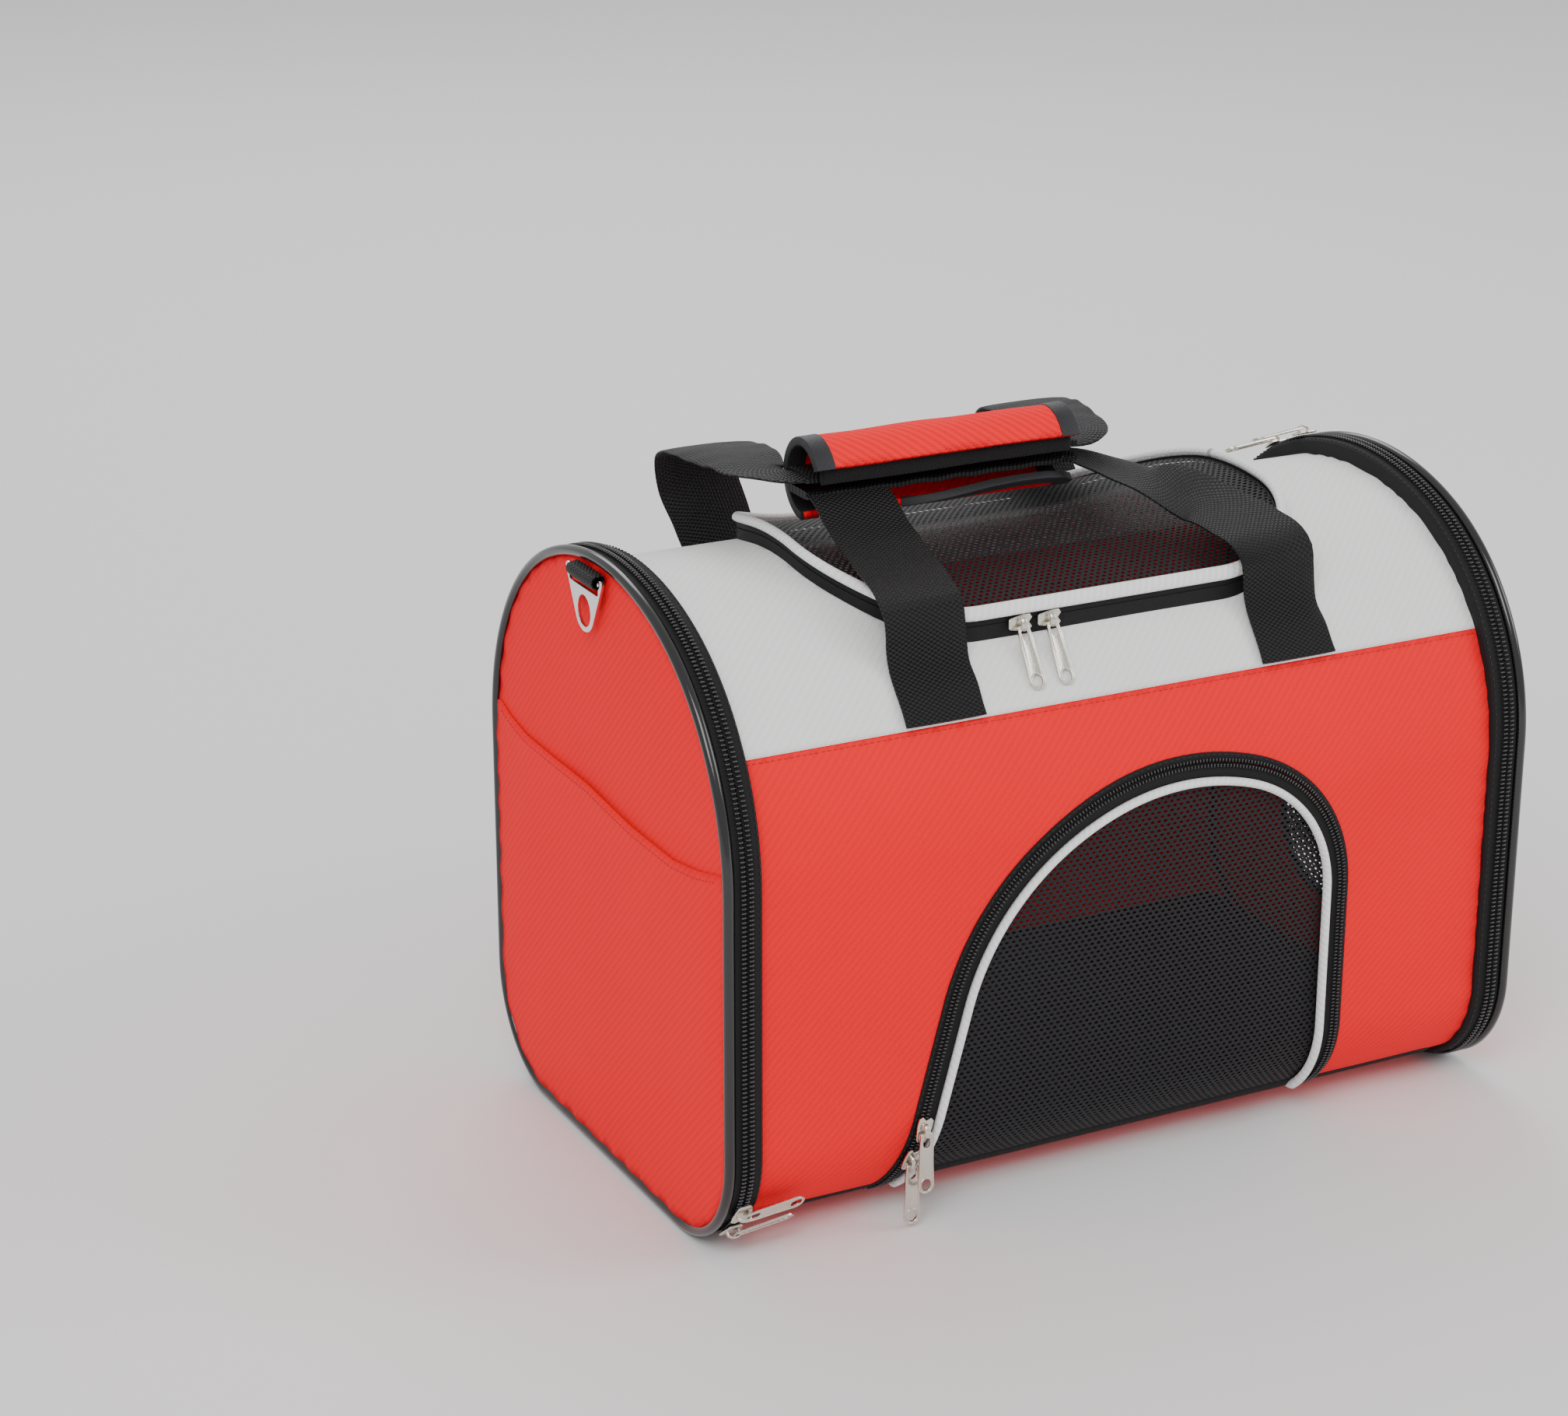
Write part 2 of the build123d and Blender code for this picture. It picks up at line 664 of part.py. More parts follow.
def make_rear_strap():
    # each leg stands up from the rear seam, loops over and turns into the grip
    out, seam_z = seam_point()
    rise = [(1.0, 0.0), (1.0, 0.06), (1.013, 0.19), (1.03, 0.44), (1.013, 0.67), (0.94, 0.83),
            (0.796, 0.91), (0.579, 0.965), (0.325, 1.0), (0.127, 1.005), (0.009, 1.0), (0.0, 1.0)]
    widths = [webbing] * 8 + [36, 29, bundle_width, bundle_width]
    turns = [0] * 8 + [24, 58, 90, 90]
    left_shift = [0, 0, -2, -9, -17, -21, -24, -27, -30, -33, -24, -11]
    right_shift = [0, 0, -3, -13, -24, -32, -36, -42, -47, -50, -60, -73]
    high = seam_z + rear_rise
    with BuildPart() as rear_strap:
        for x, shifts, hand in ((strap_left, left_shift, 1), (strap_right, right_shift, -1)):
            stations = []
            for (back, up), shift, width, turn in zip(rise, shifts, widths, turns):
                across = (cos(radians(turn)), hand * sin(radians(turn)), 0)
                y = grip["y"] + (out - grip["y"]) * back
                stations.append((x + shift, y, seam_z + rear_rise * up, width, across))
            strap_leg(stations)
        bundle_left = grip["left"] - 2
        bundle_right = grip["right"] + 2
        with Locations(((bundle_left + bundle_right) / 2, grip["y"], high)):
            Box(bundle_right - bundle_left, bundle_width, bundle_thickness)
    save(rear_strap, "rear_strap")


def make_grip():
    # a C-shaped padded wrap, open to the front, with a shorter lower flap
    out, seam_z = seam_point()
    middle_z = seam_z + (front_rise + rear_rise) / 2 + grip["lift"]
    front_z = seam_z + front_rise
    centre = (grip["y"], middle_z)
    width = grip["right"] - grip["left"]
    mouth_top = middle_z + grip["mouth_high"]
    with BuildPart() as grip_wrap:
        with BuildSketch(Plane.YZ.offset(grip["left"])):
            with Locations(centre):
                Ellipse(grip["half_y"], grip["half_z"])
                Ellipse(grip["half_y"] - grip["skin"], grip["half_z"] - grip["skin"],
                        mode=Mode.SUBTRACT)
        extrude(amount=width)
        keep_box(-far, far, -far, grip["y"] - grip["mouth_y"], front_z - grip["mouth_low"],
                 mouth_top, Mode.SUBTRACT)
        keep_box(-far, grip["flap_left"], -far, grip["y"], 0, mouth_top, Mode.SUBTRACT)
    save(grip_wrap, "grip_wrap")

    with BuildPart() as grip_fastener:
        with BuildSketch(Plane.YZ.offset(grip["left"] + grip["skin"])):
            inner_y = grip["half_y"] - grip["skin"]
            inner_z = grip["half_z"] - grip["skin"]
            with Locations(centre):
                Ellipse(inner_y, inner_z)
                Ellipse(inner_y - fastener, inner_z - fastener, mode=Mode.SUBTRACT)
        extrude(amount=width - 2 * grip["skin"])
        keep_box(-far, far, -far, grip["y"] - grip["mouth_y"] + 2, mouth_top - 4, far)
    save(grip_fastener, "grip_fastener")


# --- Sliders and pulls ---

def make_slider(name, origin, travel, normal, pull_way, ride, chain, tilt):
    # a plate over the closed coil, with one flange on the side that carries it, and a crown
    base = Plane(origin=origin, x_dir=travel, z_dir=normal)
    side = 1 if base.y_dir.dot(Vector(*ride)) > 0 else -1
    top = gap + slider["plate"]
    width = 2 * (chain["half"] + gap + slider["flange"]) + gap
    flange_y = side * (chain["half"] + 1.5 * gap + slider["flange"] / 2)
    crown_plane = Plane(origin=origin, x_dir=pull_way, z_dir=normal)
    pin = (slider["crown_shift"], 0, top + slider["pin_height"])
    with BuildPart() as body:
        with BuildSketch(base.offset(gap)):
            RectangleRounded(slider["length"], width, 2)
        extrude(amount=slider["plate"])
        if ride != up:
            with BuildSketch(base.offset(gap - chain["height"])):
                with Locations((0, flange_y)):
                    Rectangle(slider["length"] - 3, slider["flange"])
            extrude(amount=chain["height"])
        with BuildSketch(crown_plane.offset(top)):
            Rectangle(slider["crown_length"], slider["crown_width"])
        extrude(amount=slider["crown_height"])
        side_plane = Plane(origin=crown_plane.from_local_coords(pin), x_dir=pull_way,
                           z_dir=crown_plane.y_dir)
        with BuildSketch(side_plane):
            Circle(slider["pin_hole"])
        extrude(amount=slider["crown_width"], both=True, mode=Mode.SUBTRACT)
    save(body, f"{name}_slider")

    lean = radians(tilt)
    along = crown_plane.x_dir * cos(lean) - crown_plane.z_dir * sin(lean)
    swing = Plane(origin=side_plane.origin, x_dir=along, z_dir=along.cross(crown_plane.y_dir))
    with BuildPart(swing) as tag:
        Cylinder(pull["pin"], 2 * pull["half_gap"] + pull["arm"], rotation=(90, 0, 0))
        with Locations((pull["plate_start"] / 2, pull["half_gap"], 0),
                       (pull["plate_start"] / 2, -pull["half_gap"], 0)):
            Box(pull["plate_start"] + 2, pull["arm"], pull["thickness"])
        with BuildSketch(swing.offset(-pull["thickness"] / 2)):
            with Locations(((pull["plate_start"] + pull["end"]) / 2, 0)):
                RectangleRounded(pull["end"] - pull["plate_start"], pull["width"],
                                 pull["width"] / 2 - 0.5)
            with Locations((pull["end"] - pull["window_in"], 0)):
                Circle(pull["window"], mode=Mode.SUBTRACT)
        extrude(amount=pull["thickness"])
    save(tag, f"{name}_pull")


def polar(y, z, radius, turn):
    return y + radius * cos(radians(turn)), z + radius * sin(radians(turn))


def make_end_sliders():
    # both left-hand sliders are parked round the lower front corner of the rim
    corner_y = rim["corner_radius"] - rim["half_width"]
    corner_z = rim["bottom"] + rim["corner_radius"]
    for name, turn in (("left_end_upper", left_park[0]), ("left_end_lower", left_park[1])):
        y, z = polar(corner_y, corner_z, rim["corner_radius"], turn)
        out_y, out_z = polar(0, 0, 1, turn)
        make_slider(name, (-chain_x, y, z), (0, -out_z, out_y), (0, out_y, out_z), (1, 0, 0),
                    (1, 0, 0), coil, 5)
    # the right-hand pair meets just behind the top of the rim
    shoulder_y, shoulder_z = shoulder_centre(rim)
    top_z = rim["top"] - rim["top_radius"]
    spots = (("right_end_front", 0, top_z, rim["top_radius"], right_park[0]),
             ("right_end_rear", shoulder_y, shoulder_z, rim["shoulder_radius"], right_park[1]))
    for name, centre_y, centre_z, radius, turn in spots:
        y, z = polar(centre_y, centre_z, radius, turn)
        out_y, out_z = polar(0, 0, 1, turn)
        make_slider(name, (chain_x, y, z), (0, -out_z, out_y), (0, out_y, out_z), (-1, 0, 0),
                    (-1, 0, 0), coil, 5)


def make_front_sliders():
    # both front sliders are parked at the foot of the leaning leg, the upper one on the
    # upright wall and the lower one where the wall curves under; their pulls hang straight down
    lean = radians(door["lean"])
    leg_x = door["apex_x"] - door["radius"] * cos(lean)
    leg_z = door["top"] - door["radius"] + door["radius"] * sin(lean)
    corner_y = tunnel["corner_radius"] - tunnel["half_width"]
    corner_z = tunnel["bottom"] + tunnel["corner_radius"]
    radius = tunnel["corner_radius"] + small_tape + small_coil["height"]
    for name, z, turned in (("front_upper", front_park[0], 0), ("front_lower", front_park[1], 1)):
        x = leg_x - (leg_z - z) * sin(lean) / cos(lean)
        drop = turned * (z - corner_z) / radius
        level = sqrt(1 - drop ** 2)
        origin = (x, corner_y - radius * level, z)
        travel = (sin(lean), drop * cos(lean), level * cos(lean))
        make_slider(name, origin, travel, (0, -level, drop), (0, -drop, -level), (1, 0, 0),
                    small_coil, degrees(atan2(drop, level)))


def make_roof_sliders():
    # both roof sliders are parked at the middle of the hatch's front edge
    y = -(hatch["half_y"] + hatch_coil_depth)
    z = arch_height(tunnel, y, split_level)
    for name, x in (("roof_left", roof_park[0]), ("roof_right", roof_park[1])):
        make_slider(name, (x, y, z), (1, 0, 0), (0, -1, 0), (0, 0, -1), up, small_coil,
                    -roof_pull_lean)


make_walls()
make_floor()
make_rear_window()
make_hoops()
make_end_coils()
make_hinge_bindings()
for side, hand in ((-1, "left"), (1, "right")):
    make_rim(side, hand)
    make_end_trim(side, hand)
    make_ring(side, hand)
make_left_end()
make_right_end()
make_front_door()
make_hatch()
make_front_strap()
make_rear_strap()
make_grip()
make_end_sliders()
make_front_sliders()
make_roof_sliders()
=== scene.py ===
import math
import bpy
import bmesh
import numpy as np
from mathutils import Matrix, Vector, noise
from mathutils.geometry import delaunay_2d_cdt


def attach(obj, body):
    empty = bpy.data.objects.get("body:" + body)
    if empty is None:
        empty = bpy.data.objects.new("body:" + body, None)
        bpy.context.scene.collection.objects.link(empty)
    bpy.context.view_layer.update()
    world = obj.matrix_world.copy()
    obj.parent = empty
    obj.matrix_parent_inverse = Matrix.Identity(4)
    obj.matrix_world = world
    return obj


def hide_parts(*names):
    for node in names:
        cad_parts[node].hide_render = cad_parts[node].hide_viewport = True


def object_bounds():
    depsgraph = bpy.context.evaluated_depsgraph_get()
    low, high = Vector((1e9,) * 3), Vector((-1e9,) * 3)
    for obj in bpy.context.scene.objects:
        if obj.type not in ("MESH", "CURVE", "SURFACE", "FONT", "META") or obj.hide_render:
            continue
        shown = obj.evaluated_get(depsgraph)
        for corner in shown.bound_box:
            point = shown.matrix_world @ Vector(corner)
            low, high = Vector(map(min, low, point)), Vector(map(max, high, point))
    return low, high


# Soft pet carrier: an arched red and white tunnel with zip-off ends, a mesh front door,
# a mesh roof hatch and webbing handles. Shapes below are worked in millimetres.
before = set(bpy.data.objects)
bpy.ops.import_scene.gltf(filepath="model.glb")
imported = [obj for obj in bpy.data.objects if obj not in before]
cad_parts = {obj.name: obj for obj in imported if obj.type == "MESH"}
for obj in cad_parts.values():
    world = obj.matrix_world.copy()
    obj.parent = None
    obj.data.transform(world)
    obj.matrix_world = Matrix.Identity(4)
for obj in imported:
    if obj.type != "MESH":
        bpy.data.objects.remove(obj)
cadLow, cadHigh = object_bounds()
mm = 0.001
print("frame loaded")

# Outlines of the carrier
rimShape = {"halfWidth": 127.6, "bottom": 0.0, "top": 295.6, "topRadius": 145.0,
            "shoulderRadius": 115.0, "cornerRadius": 54.0}
tunnelShape = {"halfWidth": 122.6, "bottom": 5.0, "top": 285.6, "topRadius": 150.0,
               "shoulderRadius": 110.0, "cornerRadius": 49.0}
carrier = {"chainX": 201.1, "wallEnd": 200.95, "half": 212.0, "bandTop": 232.0, "baseHalf": 92.0}
archStep = 0.7
cornerTop = 54.0


def arcPoints(cx, cy, radius, start, end, step=1.5):
    count = max(3, int(abs(math.radians(end - start)) * radius / step) + 1)
    turns = np.radians(np.linspace(start, end, count))
    return [(cx + radius * math.cos(t), cy + radius * math.sin(t)) for t in turns]


def archCentres(shape):
    # the shoulder centre's reach, the top centre's height and the shoulder centre's height
    out = shape["halfWidth"] - shape["shoulderRadius"]
    topLow = shape["top"] - shape["topRadius"]
    reach = shape["topRadius"] - shape["shoulderRadius"]
    return out, topLow, topLow + math.sqrt(reach ** 2 - out ** 2)


def archTable(shape):
    # points down the front half of an arch, from the top centre to the middle of the base
    side, corner, bottom = shape["halfWidth"], shape["cornerRadius"], shape["bottom"]
    centreY, topLow, centreZ = archCentres(shape)
    turn = math.degrees(math.atan2(centreZ - topLow, centreY))
    loop = arcPoints(0, topLow, shape["topRadius"], 90, 180 - turn, archStep)
    loop += arcPoints(-centreY, centreZ, shape["shoulderRadius"], 180 - turn, 180, archStep)[1:]
    low = bottom + corner
    loop += [(-side, z) for z in np.arange(centreZ - archStep, low, -archStep)]
    loop += arcPoints(corner - side, low, corner, 180, 270, archStep)
    loop += [(y, bottom) for y in np.arange(corner - side + archStep, 0.0, archStep)]
    loop += [(0.0, bottom)]
    pts = np.array(loop)
    steps = np.hypot(*np.diff(pts, axis=0).T)
    along = np.concatenate([[0], np.cumsum(steps)])
    tangent = np.gradient(pts, axis=0)
    tangent /= np.hypot(*tangent.T)[:, None]
    normal = np.stack([tangent[:, 1], -tangent[:, 0]], 1)
    return {"y": pts[:, 0], "z": pts[:, 1], "s": along, "ny": normal[:, 0], "nz": normal[:, 1],
            "full": along[-1]}


rim = archTable(rimShape)
tunnel = archTable(tunnelShape)


def archPoint(table, s, rise=0.0):
    # s runs from the top centre, positive down the front and negative down the back
    a = abs(s)
    side = 1.0 if s >= 0 else -1.0
    y = np.interp(a, table["s"], table["y"])
    z = np.interp(a, table["s"], table["z"])
    ny = np.interp(a, table["s"], table["ny"])
    nz = np.interp(a, table["s"], table["nz"])
    size = math.hypot(ny, nz)
    ny, nz = ny / size, nz / size
    return side * (y + ny * rise), z + nz * rise


def onRim(x, s, rise):
    y, z = archPoint(rim, s, rise)
    return Vector((x, y, z))


def onTunnel(x, s, rise):
    y, z = archPoint(tunnel, s, rise)
    return Vector((x, y, z))


def sAtHeight(z):
    # distance down the tunnel's front at a height
    order = tunnel["s"] > 1
    return float(np.interp(-z, -tunnel["z"][order], tunnel["s"][order]))


def sAtReach(y):
    # distance from the top centre on the roof, at a distance y towards the back
    roof = tunnel["z"] > 180
    return float(-np.sign(y) * np.interp(abs(y), -tunnel["y"][roof], tunnel["s"][roof]))


def wallReach(z, rise):
    # how far out the tunnel's side lies at a height, moved out by rise
    side, shoulder = tunnelShape["halfWidth"], tunnelShape["shoulderRadius"]
    centreY, _, centreZ = archCentres(tunnelShape)
    corner = tunnelShape["cornerRadius"]
    cornerZ = tunnelShape["bottom"] + corner
    if z > centreZ:
        return centreY + math.sqrt(max(0, (shoulder + rise) ** 2 - (z - centreZ) ** 2))
    if z < cornerZ:
        return side - corner + math.sqrt(max(0, (corner + rise) ** 2 - (z - cornerZ) ** 2))
    return side + rise


def onFront(x, z, rise):
    return Vector((x, -wallReach(z, rise), z))


def onBack(x, z, rise):
    return Vector((x, wallReach(z, rise), z))


def roofHeight(y, rise):
    top, shoulder = tunnelShape["topRadius"], tunnelShape["shoulderRadius"]
    centreY, topLow, centreZ = archCentres(tunnelShape)
    if abs(y) / (top + rise) < centreY / (top - shoulder):
        return topLow + math.sqrt((top + rise) ** 2 - y * y)
    return centreZ + math.sqrt((shoulder + rise) ** 2 - (abs(y) - centreY) ** 2)


def onRoof(x, y, rise):
    return Vector((x, y, roofHeight(y, rise)))


# Mesh helpers
def link(obj):
    bpy.context.scene.collection.objects.link(obj)
    return obj


def meshObject(name, verts, faces, material, uvs=None, sharp=35):
    mesh = bpy.data.meshes.new(name)
    mesh.from_pydata([tuple(Vector(v) * mm) for v in verts], [], faces)
    if uvs is not None:
        layer = mesh.uv_layers.new(name="cloth")
        for loop in mesh.loops:
            u, v = uvs[loop.vertex_index]
            layer.data[loop.index].uv = (u * mm, v * mm)
    mesh.materials.append(material)
    mesh.validate()
    mesh.polygons.foreach_set("use_smooth", [True] * len(mesh.polygons))
    mesh.set_sharp_from_angle(angle=math.radians(sharp))
    return link(bpy.data.objects.new(name, mesh))


def bake(obj):
    # turns an object with live modifiers into a plain mesh
    bpy.context.view_layer.update()
    graph = bpy.context.evaluated_depsgraph_get()
    mesh = bpy.data.meshes.new_from_object(obj.evaluated_get(graph), depsgraph=graph)
    obj.modifiers.clear()
    obj.data = mesh
    return obj


def outward(obj):
    work = bmesh.new()
    work.from_mesh(obj.data)
    bmesh.ops.remove_doubles(work, verts=work.verts, dist=1e-6)
    bmesh.ops.recalc_face_normals(work, faces=work.faces)
    work.to_mesh(obj.data)
    work.free()
    return obj


def walk(points, step, closed=False):
    # even stations along a 2D path: place, normal to its left hand side, distance
    pts = np.array(points + [points[0]] if closed else points, float)
    lengths = np.hypot(*np.diff(pts, axis=0).T)
    keep = np.concatenate([[True], lengths > 1e-6])
    pts = pts[keep]
    along = np.concatenate([[0], np.cumsum(np.hypot(*np.diff(pts, axis=0).T))])
    count = max(2, int(round(along[-1] / step)) + 1)
    marks = np.linspace(0, along[-1], count)
    a = np.interp(marks, along, pts[:, 0])
    b = np.interp(marks, along, pts[:, 1])
    small = 0.6
    low = np.clip(marks - small, 0, along[-1])
    high = np.clip(marks + small, 0, along[-1])
    if closed:
        low, high = (marks - small) % along[-1], (marks + small) % along[-1]
    da = np.interp(high, along, pts[:, 0]) - np.interp(low, along, pts[:, 0])
    db = np.interp(high, along, pts[:, 1]) - np.interp(low, along, pts[:, 1])
    size = np.hypot(da, db)
    stations = [(a[i], b[i], -db[i] / size[i], da[i] / size[i], marks[i]) for i in range(count)]
    return stations[:-1] if closed else stations


def sweep(name, path, profile, place, material, closed=False, sharp=35):
    # carries a closed profile of (offset, rise) along a path laid on a surface
    count, ring = len(path), len(profile)
    around = [0.0]
    for i in range(ring):
        o0, r0 = profile[i]
        o1, r1 = profile[(i + 1) % ring]
        around.append(around[-1] + math.hypot(o1 - o0, r1 - r0))
    verts, uvs, faces = [], [], []
    for a, b, na, nb, along in path:
        for i, (offset, rise) in enumerate(profile):
            verts.append(place(a + na * offset, b + nb * offset, rise))
            uvs.append((along, around[i]))
    rows = count if closed else count - 1
    for j in range(rows):
        k = (j + 1) % count
        for i in range(ring):
            n = (i + 1) % ring
            faces.append((j * ring + i, j * ring + n, k * ring + n, k * ring + i))
    if not closed:
        faces.append(tuple(range(ring)))
        faces.append(tuple(reversed(range((count - 1) * ring, count * ring))))
    return outward(meshObject(name, verts, faces, material, uvs, sharp))


def roundedProfile(o0, o1, r0, r1, corner=0.5, steps=3):
    # a rectangle of offset and rise with rounded corners
    c = min(corner, abs(o1 - o0) / 2.01, abs(r1 - r0) / 2.01)
    pts = []
    for cx, cy, start in ((o1 - c, r1 - c, 0), (o0 + c, r1 - c, 90),
                          (o0 + c, r0 + c, 180), (o1 - c, r0 + c, 270)):
        for k in range(steps + 1):
            t = math.radians(start + 90 * k / steps)
            pts.append((cx + c * math.cos(t), cy + c * math.sin(t)))
    return pts


def roundProfile(offset, rise, radiusO, radiusR=None, count=14):
    radiusR = radiusR or radiusO
    turns = [2 * math.pi * k / count for k in range(count)]
    return [(offset + radiusO * math.cos(t), rise + radiusR * math.sin(t)) for t in turns]


def insideLoop(points, loop):
    # even-odd test of many points against one closed loop
    px, py = points[:, 0], points[:, 1]
    hit = np.zeros(len(points), bool)
    loop = np.array(loop, float)
    for (x0, y0), (x1, y1) in zip(loop, np.roll(loop, -1, axis=0)):
        if y0 == y1:
            continue
        cross = (y0 > py) != (y1 > py)
        hit ^= cross & (px < (x1 - x0) * (py - y0) / (y1 - y0) + x0)
    return hit


def nearLoop(points, loop, gap):
    loop = np.array(loop, float)
    best = np.full(len(points), 1e9)
    for start in range(0, len(loop), 64):
        part = loop[start:start + 64]
        d = np.hypot(points[:, None, 0] - part[None, :, 0], points[:, None, 1] - part[None, :, 1])
        best = np.minimum(best, d.min(1))
    return best < gap


def clothSheet(name, outline, holes, place, material, step=4.0):
    # an even triangle mesh inside an outline, without its holes, laid on a surface by place
    loops = [outline] + holes
    flat, edges = [], []
    for loop in loops:
        first = len(flat)
        flat += [tuple(p) for p in loop]
        edges += [(first + i, first + (i + 1) % len(loop)) for i in range(len(loop))]
    box = np.array(outline)
    low, high = box.min(0), box.max(0)
    xs = np.arange(low[0] + step / 2, high[0], step)
    ys = np.arange(low[1] + step / 2, high[1], step * 0.866)
    grid = np.array([(x + (step / 2 if j % 2 else 0), y) for j, y in enumerate(ys) for x in xs])
    keep = insideLoop(grid, outline)
    for loop in loops:
        keep &= ~nearLoop(grid, loop, step * 0.55)
    for loop in holes:
        keep &= ~insideLoop(grid, loop)
    flat += [tuple(p) for p in grid[keep]]
    result = delaunay_2d_cdt([Vector(p) for p in flat], edges, [], 0, 1e-4)
    pts, tris = result[0], result[2]
    corners = np.array([(p.x, p.y) for p in pts])
    centres = np.array([corners[list(t)].mean(0) for t in tris])
    good = insideLoop(centres, outline)
    for loop in holes:
        good &= ~insideLoop(centres, loop)
    faces = [tuple(t) for t, g in zip(tris, good) if g]
    verts = [place(p[0], p[1]) for p in corners]
    uvs = [(p[0], p[1]) for p in corners]
    obj = meshObject(name, verts, faces, material, uvs, 60)
    work = bmesh.new()
    work.from_mesh(obj.data)
    bmesh.ops.delete(work, geom=[v for v in work.verts if not v.link_faces], context="VERTS")
    work.to_mesh(obj.data)
    work.free()
    return obj


def facing(obj, point):
    # turns a whole sheet over if its faces look towards a point (in millimetres)
    centre = Vector(point) * mm
    score = sum((p.center - centre).dot(p.normal) * p.area for p in obj.data.polygons)
    if score < 0:
        obj.data.flip_normals()
    return obj


def thicken(obj, thickness):
    # the outer face keeps its place and the cloth grows behind it
    mod = obj.modifiers.new("thickness", "SOLIDIFY")
    mod.thickness = thickness * mm
    mod.offset = -1.0
    return bake(obj)


def flatSize(loop):
    # width, length and area of a flat cut, in metres
    pts = np.array(loop, float) * mm
    x, y = pts[:, 0], pts[:, 1]
    area = abs(float(np.dot(x, np.roll(y, -1)) - np.dot(y, np.roll(x, -1)))) / 2
    return (float(np.ptp(x)), float(np.ptp(y))), area


def stretched(obj, loop, *edges):
    size, area = flatSize(loop)


def put(obj, body, slotName, *nodes):
    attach(obj, body)
    if nodes:
        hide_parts(*nodes)
    return obj


def clothPanel(name, outline, holes, place, mat, step, centre, thick, body, slotName, node):
    # a sheet of cloth with its thickness, facing away from a centre
    sheet = facing(clothSheet(name, outline, holes, place, mat, step), centre)
    return put(thicken(sheet, thick), body, slotName, node)


def knitPanel(name, outline, place, step, centre, body, node, edge, flat=None):
    # a thin mesh sheet inside the piece round its edge
    sheet = facing(clothSheet(name, outline, [], place, meshKnit, step), centre)
    put(sheet, body, "mesh_black", node)
    stretched(sheet, flat or outline, edge)


def swept(name, path, profile, place, mat, body, slotName, node, closed=False, sharp=60):
    put(sweep(name, path, profile, place, mat, closed, sharp), body, slotName, node)


# Shader groups
def group(name, inputs, outputs):
    tree = bpy.data.node_groups.new(name, "ShaderNodeTree")
    for label, kind, value in inputs:
        socket = tree.interface.new_socket(label, in_out="INPUT", socket_type=kind)
        if value is not None:
            socket.default_value = value
    for label, kind in outputs:
        tree.interface.new_socket(label, in_out="OUTPUT", socket_type=kind)
    start = tree.nodes.new("NodeGroupInput")
    end = tree.nodes.new("NodeGroupOutput")
    return tree, start, end


def maths(tree, kind, a, b=None, c=None, clamp=False):
    node = tree.nodes.new("ShaderNodeMath")
    node.operation = kind
    node.use_clamp = clamp
    for i, value in enumerate((a, b, c)):
        if value is None:
            continue
        if isinstance(value, (int, float)):
            node.inputs[i].default_value = value
        else:
            tree.links.new(value, node.inputs[i])
    return node.outputs[0]


def weaveGroup():
    # over-and-under yarns on a cloth's own map, with an optional diagonal twill line
    tree, start, end = group("wovenYarns", [
        ("Vector", "NodeSocketVector", None), ("Pitch", "NodeSocketFloat", 0.0006),
        ("Diagonal", "NodeSocketFloat", 1.0)],
        [("Height", "NodeSocketFloat"), ("Tint", "NodeSocketFloat")])
    split = tree.nodes.new("ShaderNodeSeparateXYZ")
    tree.links.new(start.outputs["Vector"], split.inputs[0])
    pitch = start.outputs["Pitch"]
    u = maths(tree, "DIVIDE", split.outputs[0], pitch)
    v = maths(tree, "DIVIDE", split.outputs[1], pitch)
    warp = maths(tree, "ABSOLUTE", maths(tree, "SINE", maths(tree, "MULTIPLY", u, math.pi)))
    weft = maths(tree, "ABSOLUTE", maths(tree, "SINE", maths(tree, "MULTIPLY", v, math.pi)))
    step = maths(tree, "ADD", maths(tree, "FLOOR", u), maths(tree, "FLOOR", v))
    even = maths(tree, "PINGPONG", step, 1.0)
    plain = maths(tree, "ADD", maths(tree, "MULTIPLY", warp, even),
                  maths(tree, "MULTIPLY", weft, maths(tree, "SUBTRACT", 1.0, even)))
    lines = maths(tree, "SINE", maths(tree, "MULTIPLY", maths(tree, "ADD", u, v), math.pi * 0.5))
    lines = maths(tree, "MULTIPLY_ADD", lines, 0.5, 0.5)
    twill = maths(tree, "MULTIPLY", lines, start.outputs["Diagonal"])
    height = maths(tree, "MULTIPLY_ADD", plain, 0.6, maths(tree, "MULTIPLY", twill, 0.6))
    tree.links.new(height, end.inputs["Height"])
    # the yarn height is also passed out as the mask for painted highlight on raised yarns and painted shade
    # between them
    tree.links.new(height, end.inputs["Tint"])
    return tree


